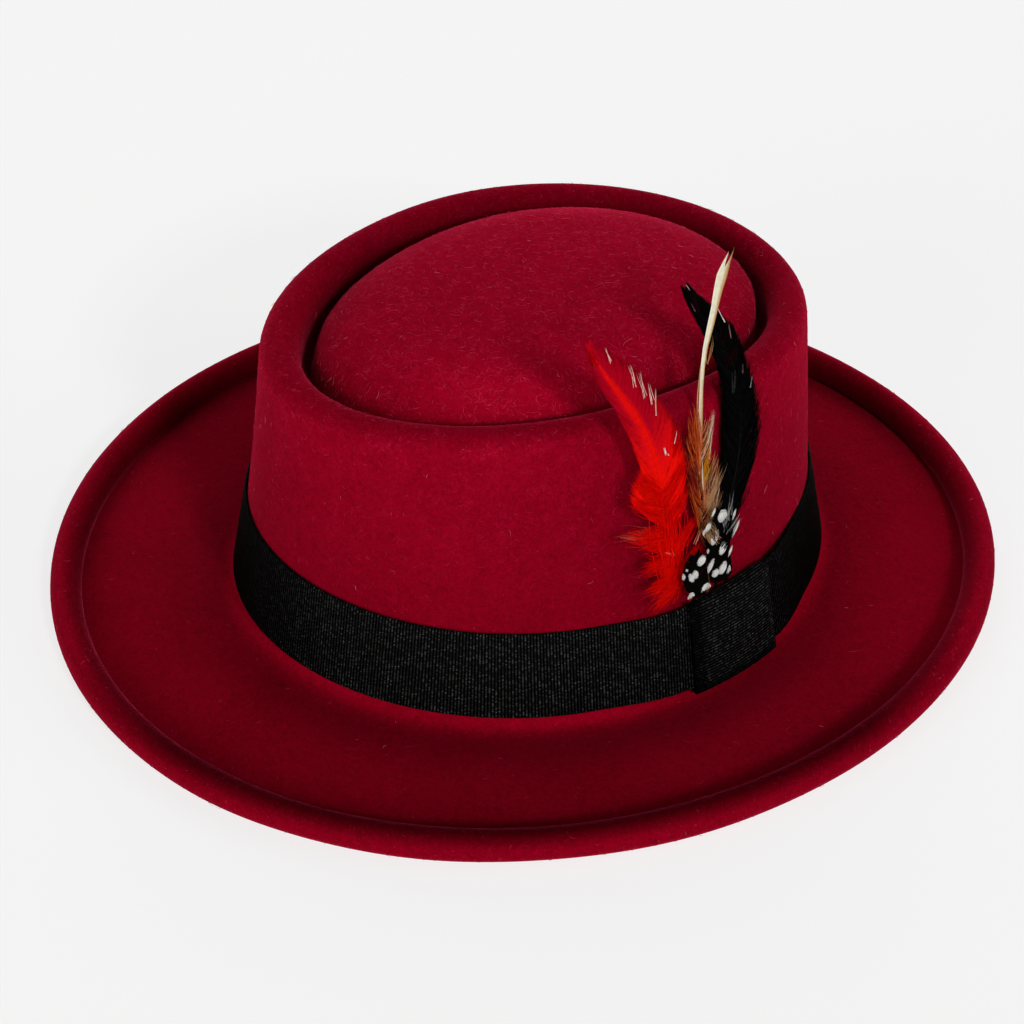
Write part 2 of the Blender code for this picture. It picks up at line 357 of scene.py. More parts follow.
def felt_material(look):
    shader = Shader(
        "felt", specular_ior_level=0.0,
        sheen_weight=0.60, sheen_roughness=0.30, sheen_tint=SHEEN_COLOUR,
    )
    nap = shader.noise(NAP_SCALE, detail=5.0, distortion=1.6, roughness=0.65)
    grain = shader.noise(GRAIN_SCALE)
    tone = 0.55 * nap + 0.30 * grain + 0.15 * shader.noise(CLOUD_SCALE)
    felt = shader.mix(shader.limit(tone, 0.36, 0.64), look.deep, look.bright)
    # Curled fibres lie along a noise's middle level, broken up by a coarser one
    level = abs(shader.noise(CURL_SCALE, detail=1.5, distortion=1.2) - 0.5)
    curl = shader.limit(level, 0.028, 0.004) * shader.limit(shader.noise(CURL_GAP_SCALE), 0.40, 0.62)
    x, y, z = (shader.part(shader.coordinates("Object"), axis) for axis in range(3))
    felt = shader.mix(curl * (0.10 + 0.45 * shader.limit(z, *FIBRES_START)), felt, look.fibre)
    # Painted shade: the brim's colour is multiplied darker than the crown's
    crown = shader.mix(shader.limit(z, *FLAT_TO_WALL), shader.multiply(felt, look.flat), felt)
    # Painted light: on the dome the colour is multiplied paler
    way = (x / DOME.half_width)**2 + ((y - DOME.centre_y) / DOME.half_length)**2
    dome = shader.limit(way, 1.0, 0.70) * shader.limit(z, *DOME_STARTS)
    felt = shader.mix(dome, crown, shader.multiply(felt, look.raised))
    shader.colour(shader.multiply(felt, shader.tint()))
    shader.rough(0.82 + 0.16 * nap)
    shader.bump(0.6 * nap + 0.4 * grain, 0.0004)
    return shader.material


def fuzz_material():
    shader = Shader("felt_fuzz", roughness=0.9, specular_ior_level=0.0)
    shader.colour(shader.tint())
    return shader.material


def ribbon_material(look):
    shader = Shader("ribbon_ribs", specular_ior_level=0.02)
    cloth_map = shader.coordinates("UV")
    along = shader.part(cloth_map, 0) / look.rib_pitch
    across = shader.part(cloth_map, 1) / look.bead
    ridge = abs(shader.math("SINE", along * math.pi))
    rib = shader.math("FLOOR", along)
    # Painted highlights on beads of thread along each rib, a half step on from those of the next rib
    beads = across + 0.5 * shader.math("MODULO", rib, 2.0)
    bead = abs(shader.math("SINE", beads * math.pi))
    cell = shader.node("ShaderNodeCombineXYZ", x=rib, y=shader.math("FLOOR", beads))
    luck = shader.node(
        "ShaderNodeTexWhiteNoise", "Value", {"noise_dimensions": "2D"}, vector=cell
    )
    bead_glint_noise = shader.limit(shader.noise(BEAD_GLINT_SCALE, detail=3.0), 0.30, 0.70)
    # Painted highlights and shade: rib tops and their beads pale, the valleys between ribs dark, the beads'
    # strength varying with a noise
    shade = ridge**4 * (0.13 + (0.25 + 0.75 * bead_glint_noise) * luck**3 * bead * 1.5)
    pale = [24.0 * part for part in look.colour]
    dark = [0.05 * part for part in look.colour]
    cloth = shader.mix(shader.limit(shade, 0.01, 1.5), dark, pale)
    shader.colour(shader.multiply(cloth, shader.tint()))
    shader.rough(0.75 - 0.25 * ridge)
    shader.bump(0.5 * bead * ridge + 0.3 * luck, 0.00008)
    return shader.material


def feather_material(name, roughness, gloss, streaks):
    shader = Shader(name, specular_ior_level=gloss)
    tint = shader.tint()
    streak = shader.noise(STREAK_SCALE)
    darker = shader.multiply(tint, (streaks, streaks, streaks))
    shader.colour(shader.mix(shader.limit(streak, 0.35, 0.60), darker, tint))
    shader.rough(roughness + 0.15 * streak)
    return shader.material


# Meshes
def add_object(name, data):
    made = bpy.data.objects.new(name, data)
    bpy.context.scene.collection.objects.link(made)
    return made


def new_piece(name, points, faces, material, uv=None, tint=None):
    data = bpy.data.meshes.new(name)
    data.from_pydata(np.asarray(points).reshape(-1, 3).tolist(), [], faces)
    data.materials.append(material)
    data.shade_smooth()
    corners = np.empty(len(data.loops), np.int32)
    data.loops.foreach_get("vertex_index", corners)
    if uv is not None:
        layer = data.uv_layers.new(name="UVMap")
        layer.data.foreach_set("uv", np.asarray(uv, np.float32).reshape(-1, 2)[corners].ravel())
    if tint is not None:
        layer = data.color_attributes.new("tint", "FLOAT_COLOR", "POINT")
        colours = np.ones((len(data.vertices), 4), np.float32)
        colours[:, :3] = np.asarray(tint).reshape(-1, 3)
        layer.data.foreach_set("color", colours.ravel())
    piece = add_object(name, data)
    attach(piece, BODY)
    return piece


def grid_faces(rows, count, closed=True):
    row = np.arange(rows - 1)[:, None] * count
    step = np.arange(count if closed else count - 1)[None, :]
    after = (step + 1) % count
    quads = np.stack([row + step, row + count + step, row + count + after, row + after], -1)
    return quads.reshape(-1, 4)


def unit(vectors):
    return vectors / np.linalg.norm(vectors, axis=-1, keepdims=True)


def blend(first, second, share):
    return np.array(first) + (np.array(second) - np.array(first)) * share


def by_table(values, table):
    """What a table of (value, result) rows gives at the values."""
    return np.interp(values, [row[0] for row in table], [row[1] for row in table])


def spread(shares, results):
    """What results spaced evenly from 0 to 1 give at the shares."""
    return np.interp(shares, np.linspace(0.0, 1.0, len(results)), results)


def run_along(points):
    """The way along points to each of them."""
    return np.concatenate([[0.0], np.cumsum(np.linalg.norm(np.diff(points, axis=0), axis=1))])


def strands(paths, widths, flats, thickness=0.4):
    """Points and faces of closed three-sided strands along paths, each drawn to a point."""
    number, steps, _ = paths.shape
    ahead = unit(np.gradient(paths, axis=1))
    side = unit(np.cross(flats, ahead))
    over = np.cross(ahead, side)
    half = 0.5 * widths[..., None]
    ring = np.stack([paths + side * half, paths - side * half, paths + over * half * 2 * thickness], 2)
    body = ring[:, :-1].reshape(number, -1, 3)
    points = np.concatenate([body, paths[:, -1:]], axis=1)
    corners = 3 * (steps - 1)
    start = np.arange(number)[:, None, None] * (corners + 1)
    level = 3 * np.arange(steps - 2)[:, None]
    here = np.arange(3)[None, :]
    after = (here + 1) % 3
    quads = np.stack([level + here, level + after, level + 3 + after, level + 3 + here], -1)
    last = corners - 3
    ends = np.array([[0, 2, 1]] + [[last + k, last + (k + 1) % 3, corners] for k in range(3)])
    quads = (quads.reshape(1, -1, 4) + start).reshape(-1, 4)
    ends = (ends[None] + start).reshape(-1, 3)
    return points.reshape(-1, 3), quads.tolist() + ends.tolist()


def strand_tints(tints):
    """Colours for the points of strands, from a colour at each step of each path."""
    body = np.repeat(tints[:, :-1], 3, axis=1)
    return np.concatenate([body, tints[:, -1:]], axis=1).reshape(-1, 3)


def joined(parts):
    """Points, faces and tints of several (points, faces, tints) as one."""
    points, faces, tints = [], [], []
    total = 0
    for part_points, part_faces, part_tints in parts:
        points.append(part_points)
        tints.append(part_tints)
        faces.extend([[corner + total for corner in face] for face in part_faces])
        total += len(part_points)
    return np.concatenate(points), faces, np.concatenate(tints)


# Ovals
def mix(first, second, share):
    return Oval(*(a + (b - a) * share for a, b in zip(first, second)))


def offset(oval, out, up):
    return oval._replace(
        half_width=oval.half_width + out,
        half_length=oval.half_length + out,
        height=oval.height + up,
    )


def arc(centre, radius, start, end, steps):
    turns = [math.radians(start + (end - start) * step / steps) for step in range(steps + 1)]
    return [offset(centre, radius * math.cos(turn), radius * math.sin(turn)) for turn in turns]


def between(first, last, steps):
    return [mix(first, last, step / steps) for step in range(1, steps + 1)]


def oval_points(rows, angles, away=0.0):
    """Points at the angles on ovals given as rows, and the way out from them."""
    back = np.sin(angles)
    lift = rows[..., 5] * np.cos(2.0 * angles) + rows[..., 6] * back
    return np.stack([
        (rows[..., 0] + away) * np.cos(angles) * (1.0 + rows[..., 4] * back),
        (rows[..., 1] + away) * back + rows[..., 3],
        rows[..., 2] + lift,
    ], axis=-1)


def ring_points(ovals, angles):
    points = oval_points(np.array(ovals)[:, None, :], angles)
    points[..., 2] = np.maximum(points[..., 2], FELT)
    return points


# The felt's upper face, from the middle of the crown to the end of the curl
def dome_ring(share):
    fall = DOME_FALL * share**2 + SHOULDER_FALL * share**SHOULDER_POWER
    return DOME._replace(
        half_width=DOME.half_width * share,
        half_length=DOME.half_length * share,
        height=DOME.height - fall,
        side_lift=DOME.side_lift * share**2,
    )


def felt_profile():
    """Rings of the upper face as rows, the painted light and shade of each, and the ring each stretch
    starts at.
    """
    dome = [dome_ring(t * (1.75 - 0.75 * t)) for t in np.linspace(0.02, 1.0, RINGS["dome"])]
    inset = RIM_RADIUS + GROOVE_RADIUS
    floor = offset(RIM, -inset, RIM_RADIUS - GROOVE_DEPTH + GROOVE_RADIUS)
    groove = arc(floor, GROOVE_RADIUS, 180.0, 360.0, RINGS["groove"])
    rim = arc(RIM, RIM_RADIUS, 180.0, RIM_END_DEGREES, RINGS["rim"])
    fillet = arc(offset(FOOT, FOOT_FILLET, 0.0), FOOT_FILLET, 180.0, 270.0, RINGS["fillet"])
    foot = between(WAIST, fillet[0], RINGS["foot"])[:-1]
    seat = offset(CURL, -CURL_SEAT, FELT - CURL_RADIUS)
    curl = arc(CURL, CURL_RADIUS - FELT, CURL_START_DEGREES, CURL_END_DEGREES, RINGS["curl"])
    curl[0] = offset(curl[0], 0.0, FELT - CURL_RADIUS + CURL.height - curl[0].height)
    stretches = {
        "dome": dome,
        "shoulder": between(dome[-1], groove[0], RINGS["shoulder"])[:-1],
        "groove": groove,
        "inner": between(groove[-1], rim[0], RINGS["inner"])[:-1],
        "rim": rim,
        "wall": between(rim[-1], WAIST, RINGS["wall"]) + foot,
        "fillet": fillet,
        "flat": between(fillet[-1], seat, RINGS["flat"]),
        "curl": curl,
    }
    rows, shades, starts = [], [], {}
    for name, ovals in stretches.items():
        starts[name] = len(rows)
        rows += ovals
        shades.append(spread(np.linspace(0.0, 1.0, len(ovals)), STRETCH_PAINTED_LIGHT[name]))
    rows, shades = np.array(rows), np.concatenate(shades)
    for values in (rows, shades) * 2:
        values[1:-1] = 0.25 * values[:-2] + 0.5 * values[1:-1] + 0.25 * values[2:]
    return rows, shades, starts


def grid_normals(points):
    along = np.gradient(points, axis=0)
    around = np.roll(points, -1, axis=1) - np.roll(points, 1, axis=1)
    return unit(np.cross(along, around))


def swells(points, seed):
    """A smooth unevenness from -1 to 1 at points in space."""
    rng = np.random.default_rng(seed)
    total = np.zeros(points.shape[:-1])
    for _ in range(SWELLS):
        wave = rng.normal(0.0, SWELL_RATE, 3)
        total += np.sin(points @ wave + rng.uniform(0.0, math.tau))
    return total / math.sqrt(SWELLS)


def felt_angles(settings):
    return np.linspace(0.0, math.tau, settings.segments, endpoint=False)


def felt_faces(settings):
    """The felt's upper and lower faces as grids of points, their normals, and the rows' starts."""
    rows, _, starts = felt_profile()
    curl_start = starts["curl"]
    upper = ring_points(rows, felt_angles(settings))
    normals = grid_normals(upper)
    stray = settings.unevenness * swells(upper, SWELL_SEED)
    fade = np.linspace(1.0, 0.0, len(rows) - curl_start)
    stray[curl_start:] *= fade[:, None]
    upper = upper + normals * stray[..., None]
    normals = grid_normals(upper)
    lower = upper - FELT * normals
    lower[..., 2] = np.maximum(lower[..., 2], 0.0)
    return upper, lower, normals, starts


# Painted light and shade on the roll by degrees of its turn, on the camera side and on the other sides
CAMERA_SIDE_ROLL_LIGHT = (
    (-90.0, 0.85), (-20.0, 0.88), (8.0, 0.97), (28.0, 0.90), (45.0, 0.66), (60.0, 0.50),
    (75.0, 0.36), (90.0, 0.26), (110.0, 0.21), (200.0, 0.20),
)
OTHER_ROLL_LIGHT = (
    (-90.0, 1.0), (0.0, 1.10), (41.0, 1.08), (62.0, 1.35), (80.0, 1.25), (98.0, 0.92),
    (118.0, 0.74), (143.0, 0.50), (200.0, 0.35),
)
# Painted light and shade on the brim's other sides, from the crown to the roll
OTHER_FLAT_LIGHT = (0.85, 0.95, 1.05, 1.15, 1.20, 1.20, 0.90)
# Painted light on the dome from its far edge to its near one, and painted shade on the far rim from the
# groove up
DOME_PAINTED_LIGHT = (
    (-1.0, 1.60), (-0.85, 1.50), (-0.6, 1.10), (0.0, 0.97), (0.5, 0.97), (0.8, 1.12), (1.0, 1.50),
)
FAR_RIM_SHADE = ((0.0, 0.35), (0.2, 0.40), (0.45, 0.70), (0.6, 1.0), (1.0, 1.0))
# Painted sheen on the wall by how near it faces to the camera side
WALL_EDGE_SHEEN = ((0.0, 1.50), (0.15, 1.35), (0.30, 1.15), (0.45, 1.0))
# The share of that painted sheen on the wall's right
RIGHT_EDGE = 0.4
# Where the camera side's painted light and shade start, and over what, by how near a place faces to the
# camera side
CAMERA_SIDE_FROM, CAMERA_SIDE_OVER = 0.30, 0.40
FAR_SHARPNESS = 1.6
# Painted sheen: what the far edge of the dome adds to the colour's red, green and blue, and where across it
FAR_SHEEN_PINK = np.array([0.0, 0.8, 0.5])
PINK_ACROSS, PINK_SHARES = (-1.0, -0.6), (0.5, 0.0)


def felt_painted_light(angles):
    """The painted light and shade at each point of the upper and the lower face."""
    rows, shades, starts = felt_profile()
    facing = np.cos(angles - CAMERA_SIDE)
    upper = np.repeat(shades[:, None], len(angles), axis=1)
    rim, wall, fillet = starts["rim"], starts["wall"], starts["fillet"]
    flat, curl = starts["flat"], starts["curl"]
    camera_facing = np.clip((facing - CAMERA_SIDE_FROM) / CAMERA_SIDE_OVER, 0.0, 1.0)
    # Painted light: the dome is palest towards its near and far edges
    dome = slice(0, starts["shoulder"])
    across = (rows[dome, 0] / DOME.half_width)[:, None] * facing
    upper[dome] *= by_table(across, DOME_PAINTED_LIGHT)
    # Painted shade: the far side's rim darkens down into the groove
    far = np.clip(-facing * FAR_SHARPNESS, 0.0, 1.0)
    inside = slice(starts["inner"], wall)
    share = np.linspace(0.0, 1.0, wall - starts["inner"])[:, None]
    upper[inside] *= 1.0 + far * (by_table(share, FAR_RIM_SHADE) - 1.0)
    # Painted sheen: the wall is palest where it turns away, and most so on the left
    turned = by_table(np.abs(facing), WALL_EDGE_SHEEN)
    milder = 1.0 + RIGHT_EDGE * (turned - 1.0)
    turned = np.where(np.sin(angles - CAMERA_SIDE) < 0.0, turned, milder)
    upper[wall:fillet] *= turned
    upper[rim:wall] *= 1.0 + np.linspace(0.0, 1.0, wall - rim)[:, None] ** 2 * (turned - 1.0)
    # The brim's painted light and shade, the camera side's and the other sides'
    share = np.linspace(0.0, 1.0, curl - flat)[:, None]
    upper[flat:curl] = upper[flat:curl] * camera_facing + spread(share, OTHER_FLAT_LIGHT) * (1.0 - camera_facing)
    # Painted light and shade on the roll, which shows its lower face
    lower = np.ones_like(upper)
    turns = np.linspace(CURL_START_DEGREES, CURL_END_DEGREES, len(rows) - curl)[:, None]
    lower[curl:] = by_table(turns, OTHER_ROLL_LIGHT) * (1.0 - camera_facing)
    lower[curl:] += by_table(turns, CAMERA_SIDE_ROLL_LIGHT) * camera_facing
    return upper, lower, across


def make_felt(settings):
    upper, lower, _, _ = felt_faces(settings)
    middle = 0.5 * (upper[-1] + lower[-1])
    ahead = unit(upper[-1] - upper[-2])
    edge = [
        middle + math.cos(turn) * (upper[-1] - middle) + math.sin(turn) * 0.4 * FELT * ahead
        for turn in np.radians([45.0, 90.0, 135.0])
    ]
    rings = np.concatenate([upper, edge, lower[::-1]])
    count = settings.segments
    poles = np.array([upper[0].mean(axis=0), lower[0].mean(axis=0)])
    points = np.concatenate([rings.reshape(-1, 3), poles])
    faces = grid_faces(len(rings), count).tolist()
    last = len(rings) * count
    end = last - count
    for step in range(count):
        after = (step + 1) % count
        faces.append([last, step, after])
        faces.append([last + 1, end + after, end + step])
    pale, under, across = felt_painted_light(felt_angles(settings))
    shades = np.concatenate([pale, [under[-1]] * len(edge), under[::-1]])
    tint = np.repeat(np.append(shades, [1.0, 1.0])[:, None], 3, axis=1)
    # Painted sheen: towards the dome's far edge the colour is pinker
    pink = np.interp(across, PINK_ACROSS, PINK_SHARES).ravel()
    tint[:len(pink)] *= 1.0 + pink[:, None] * FAR_SHEEN_PINK
    felt = new_piece("felt_hat", points, faces, felt_material(settings), tint=tint)
    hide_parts("felt_body")


# Loose fibres, thrown over the outside of the felt
def fibre_starts(points, facing, shades, number, rng):
    """Places spread evenly over a grid of points, the way the felt faces and its painted light and shade at
    each.
    """
    edge_a = points[1:] - points[:-1]
    edge_b = np.roll(points, -1, axis=1)[:-1] - points[:-1]
    area = np.linalg.norm(np.cross(edge_a, edge_b), axis=-1)
    chosen = rng.choice(area.size, number, p=(area / area.sum()).ravel())
    row, column = np.unravel_index(chosen, area.shape)
    a, b = rng.random((2, number, 1))
    places = points[row, column] + a * edge_a[row, column] + b * edge_b[row, column]
    return places, facing[row, column], shades[row, column]


# Rings of the roll's outside, from the floor up to where it turns in
ROLL_RINGS = 21
# The width of a loose fibre along it, how deep it lies in the felt, and its lowest height
FIBRE_SHAPE = np.array([0.7, 1.0, 0.8, 0.0])
FIBRE_SUNK = 0.00003
FIBRE_LOWEST = 0.0002
PALEST_SHARE = 0.010


def make_fuzz(settings, felt):
    upper, lower, normals, starts = felt_faces(felt)
    pale, under, _ = felt_painted_light(felt_angles(felt))
    above, below = (upper, normals, pale), (lower, -normals, under)
    rim, wall, brim, curl = (starts[name] for name in ("rim", "wall", "fillet", "curl"))
    cloth = fuzz_material()
    rng = np.random.default_rng(5)
    steps = len(FIBRE_SHAPE)
    t = np.linspace(0.0, 1.0, steps)[None, :, None]
    # The face and rings that each covers, how many of the fibres, how seldom pale, and how long
    for name, face, rings, share, seldom, reach in (
        ("felt_fuzz_dome", above, slice(0, rim), 0.42, 1.2, 1.0),
        ("felt_fuzz_rim", above, slice(rim, wall), 0.13, 1.8, 0.6),
        ("felt_fuzz_wall", above, slice(wall, wall + RINGS["wall"]), 0.25, 4.5, 0.8),
        ("felt_fuzz_brim", above, slice(brim, curl), 0.08, 4.5, 0.9),
        ("felt_fuzz_roll", below, slice(curl, curl + ROLL_RINGS), 0.13, 1.6, 0.6),
    ):
        number = int(settings.count * share)
        start, up, shade = fibre_starts(*(grid[rings] for grid in face), number, rng)
        heading = unit(np.cross(up, rng.normal(size=(number, 3))))
        side = np.cross(up, heading)
        start, up, heading, side = (part[:, None] for part in (start, up, heading, side))
        length = reach * settings.length * rng.lognormal(-0.15, 0.40, (number, 1, 1))
        bend = rng.normal(0.0, 0.45, (number, 1, 1))
        rise = rng.uniform(0.0, 0.05, (number, 1, 1))
        way = heading * t + side * bend * np.sin(2.6 * t) + up * rise * t
        paths = start - FIBRE_SUNK * up + length * way
        paths[..., 2] = np.maximum(paths[..., 2], FIBRE_LOWEST)
        widths = settings.width * FIBRE_SHAPE * rng.uniform(0.6, 1.4, (number, 1))
        points, faces = strands(paths, widths, up, 0.8)
        luck = rng.random((number, 1, 1)) ** seldom
        tints = blend(settings.low, settings.colour, luck) * np.ones((1, steps, 1))
        tints[rng.random(number) < PALEST_SHARE] = settings.palest
        # Each fibre takes the painted light and shade of the felt under it
        tints *= shade[:, None, None]
        new_piece(name, points, faces, cloth, tint=strand_tints(tints))


# The ribbon, rib by rib
def pocket(angles):
    away = np.abs(np.degrees(angles) - BOW_DEGREES)
    away = np.minimum(away, 360.0 - away)
    share = (POCKET_END_DEGREES - away) / (POCKET_END_DEGREES - POCKET_FLAT_DEGREES)
    share = np.clip(share, 0.0, 1.0)
    return POCKET * share * share * (3.0 - 2.0 * share)


def ribbon_points(angles, out, up):
    """Points at the angles, out from the ribbon's inner face and up from its lower edge."""
    angles, out, up = np.broadcast_arrays(angles, out, up)
    rows = blend(FOOT, WAIST, (up / RIBBON_HEIGHT)[..., None])
    return oval_points(rows, angles, CLEARANCE + pocket(angles) + out)


def rib_ways(points, pitch):
    """The way along points, the same in even steps of whole ribs, and the ribs' own pitch."""
    run = run_along(points)
    ribs = round(run[-1] / pitch)
    return run, np.linspace(0.0, run[-1], ribs * RIB_STEPS + 1), run[-1] / ribs


def rib_height(ways, pitch):
    return np.abs(np.sin(math.pi * ways / pitch)) ** 0.8


def make_band(settings, cloth):
    fine = np.linspace(0.0, math.tau, BAND_STEPS)
    middle = ribbon_points(fine, RIBBON, 0.5 * RIBBON_HEIGHT)
    run, ways, pitch = rib_ways(middle, settings.rib_pitch)
    ways = ways[:-1]
    angles = np.interp(ways, run, fine)
    count = len(angles)
    rib = rib_height(ways, pitch)
    top = RIBBON_HEIGHT
    inner = 0.0001
    flat = RIBBON - settings.rib_depth
    # Each row is up, out, and how much of the ribs it shows
    edge = ((0.0, inner, 0.0), (0.0, flat - SELVEDGE_ROUND, 0.3), (SELVEDGE_ROUND, flat, 0.7))
    rows = [*edge]
    rows += [(height, flat, 1.0) for height in np.linspace(SELVEDGE, top - SELVEDGE, BAND_ROWS)]
    rows += [(top - height, out, share) for height, out, share in edge[::-1]]
    rng = np.random.default_rng(3)
    wander = rng.normal(0.0, THREAD_STRAY, (len(rows), count))
    points, uv = [], []
    for (height, out, share), stray in zip(rows, wander):
        side = 0.0 if out == inner else {0.0: -1.0, top: 1.0}.get(height, 0.0)
        lean = RIB_LEAN * np.sin(RIB_LEANS * angles + 1.3) * (height / top - 0.5)
        out = out + share * (settings.rib_depth * rib + stray)
        up = height + side * SELVEDGE_WAVE * (rib - 0.5)
        points.append(ribbon_points(angles + lean, out, up))
        uv.append(np.stack([ways / pitch * settings.rib_pitch, np.full_like(ways, height)], -1))
    faces = grid_faces(len(rows) + 1, count)
    faces = (faces % (len(rows) * count))[:, ::-1].tolist()
    # Painted light and shade on the band, by how near it faces the camera side
    tint = np.ones((len(rows), count, 3)) * by_table(np.cos(angles - CAMERA_SIDE), BAND_PAINTED_LIGHT)[:, None]
    band = new_piece(
        "ribbon_band_cloth", np.array(points), faces, cloth, uv=np.array(uv), tint=tint,
    )
    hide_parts("ribbon_band")


# The bow's knot wraps the band from behind its upper edge to under its lower edge
def knot_path(out, overhang):
    """(out, up) points down the front of the knot, from the turned end above to the one below."""
    top = RIBBON_HEIGHT + overhang
    low = -overhang
    inside = RIBBON + CLEARANCE - BOW_RETURN + 0.0003
    turned = out - KNOT_FOLD
    turns = np.radians([0, 22, 45, 68, 90])
    corner = [(KNOT_FOLD * math.sin(turn), KNOT_FOLD * (1.0 - math.cos(turn))) for turn in turns]
    path = [(inside, top), (turned - 0.0006, top)]
    path += [(turned + across, top - down) for across, down in corner]
    ends = (top - KNOT_FOLD - 0.002, low + KNOT_FOLD + 0.002)
    path += [(out, height) for height in np.linspace(*ends, BAND_ROWS)]
    path += [(turned + across, low + up) for across, up in corner[::-1]]
    path += [(turned - 0.0006, low), (inside, low)]
    return np.array(path)


def make_knot_layer(name, settings, cloth, out, narrower, overhang):
    middle = math.radians(BOW_DEGREES)
    half = math.radians(0.5 * BOW_SPAN_DEGREES) - narrower / FOOT.half_length
    path = knot_path(out, overhang)
    run, ways, pitch = rib_ways(path, settings.rib_pitch)
    spine = np.stack([np.interp(ways, run, path[:, axis]) for axis in (0, 1)], -1)
    ahead = unit(np.gradient(spine, axis=0))
    outward = np.stack([-ahead[:, 1], ahead[:, 0]], -1)
    rib = rib_height(ways, pitch)
    swell = np.exp(-((spine[:, 1] - 0.5 * RIBBON_HEIGHT) / KNOT_SWELL_REACH) ** 2)
    columns = np.concatenate([[-1.0], np.linspace(-1.0, 1.0, KNOT_COLUMNS), [1.0]])
    # How deep the ribs are on each column, where the outermost are the edges behind
    ribbed = np.ones(len(columns))
    ribbed[[1, -2]] = 0.5
    points, uv = [], []
    for column, share in zip(columns, ribbed):
        edge = rib if share == 0.5 else 0.0
        depth = settings.rib_depth * (rib * share - 1.0)
        if len(points) in (0, len(columns) - 1):
            depth = -KNOT_LAYER
        depth = depth + KNOT_SWELL * (1.0 - column**2) * swell
        wide = half + KNOT_EDGE_WAVE / FOOT.half_length * edge
        section = spine + outward * depth[:, None]
        points.append(ribbon_points(middle + column * wide, section[:, 0], section[:, 1]))
        side = np.full_like(ways, column * BOW_HALF_WIDTH)
        uv.append(np.stack([ways / pitch * settings.rib_pitch, side], -1))
    # The lower face joins the two edges behind
    section = spine - outward * KNOT_LAYER
    for column in np.linspace(1.0, -1.0, KNOT_BACK_COLUMNS)[1:-1]:
        points.append(ribbon_points(middle + column * half, section[:, 0], section[:, 1]))
        uv.append(uv[0])
    points = np.array(points)
    rows, count, _ = points.shape
    faces = grid_faces(rows + 1, count, closed=False) % (rows * count)
    top = [row * count for row in range(rows)]
    foot = [row * count + count - 1 for row in range(rows)][::-1]
    # Its left side and its hem lie in the dark
    tint = np.ones_like(points)
    tint[:4] = 0.25
    tint[:, spine[:, 1] < KNOT_HEM] *= 0.40
    faces = faces.tolist() + [top, foot]
    knot = new_piece(name, points, faces, cloth, uv=np.array(uv), tint=tint)
    return knot, run[-1]


def make_bow(settings, cloth):
    out = RIBBON + CLEARANCE + BOW
    over = CLEARANCE + RIBBON
    front, length = make_knot_layer("bow_front", settings, cloth, out, 0.0, over)
    back, inner_length = make_knot_layer(
        "bow_back", settings, cloth, out - KNOT_LAYER - KNOT_LAYER_GAP,
        KNOT_BACK_NARROWER, over - KNOT_BACK_SHORTER,
    )
    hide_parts("ribbon_bow")


# Feathers, laid out beside the wall: along towards the back, up the wall, and out from it
def plume_axes():
    angle = np.array([math.radians(PLUME_DEGREES)])
    foot = ring_points([WAIST], angle)[0, 0]
    rim = ring_points([offset(RIM, RIM_RADIUS, 0.0)], angle)[0, 0]
    across, back = math.cos(angle[0]), math.sin(angle[0])
    tangent = unit(np.array([-WAIST.half_width * back, WAIST.half_length * across, 0.0]))
    outward = np.array([tangent[1], -tangent[0], 0.0])
    rise = np.array([0.0, 0.0, rim[2] - foot[2]]) - outward * np.dot(foot - rim, outward)
    rise = unit(rise)
    return foot, tangent, rise, -np.cross(rise, tangent)


PLUME = plume_axes()


def plume_points(places):
    """Points in the frame of places given as (along, up, out)."""
    foot, tangent, rise, out = PLUME
    return foot + places[..., :1] * tangent + places[..., 1:2] * rise + places[..., 2:3] * out


# Rows from the stem's end to the tip. Each is up as a share of the height, then the left edge,
# the shaft, the right edge and the way out from the wall as shares of the reach.
Feather = namedtuple("Feather", "height reach rows")
BLACK = Feather(0.1140, 0.0225, (
    (0.00, 0.01, 0.05, 0.09, 0.045), (0.13, 0.13, 0.20, 0.28, 0.055),
    (0.22, 0.22, 0.31, 0.50, 0.060), (0.29, 0.23, 0.44, 0.71, 0.062),
    (0.35, 0.25, 0.56, 0.90, 0.063), (0.42, 0.29, 0.64, 1.05, 0.064),
    (0.50, 0.31, 0.70, 1.07, 0.065), (0.59, 0.34, 0.70, 0.99, 0.066),
    (0.71, 0.31, 0.58, 0.83, 0.067), (0.81, 0.12, 0.33, 0.63, 0.068),
    (0.91, -0.12, -0.03, 0.20, 0.070), (0.98, -0.25, -0.21, -0.16, 0.072),
))
QUILL = Feather(0.1205, 0.0106, (
    (0.00, -0.33, -0.25, -0.16, 0.09), (0.07, -0.38, -0.28, -0.18, 0.28),
    (0.17, -0.52, -0.36, -0.19, 0.30), (0.24, -0.63, -0.47, 0.05, 0.31),
    (0.32, -0.83, -0.57, 0.30, 0.33), (0.40, -0.93, -0.565, 0.24, 0.35),
    (0.47, -1.00, -0.525, 0.13, 0.37), (0.57, -0.93, -0.43, 0.18, 0.40),
    (0.62, -0.80, -0.38, -0.20, 0.41), (0.65, -0.53, -0.32, -0.28, 0.42),
    (0.74, -0.28, -0.13, 0.02, 0.46), (0.86, 0.08, 0.26, 0.44, 0.51),
    (0.96, 0.57, 0.78, 0.94, 0.56), (1.00, 1.05, 1.12, 1.17, 0.58),
))
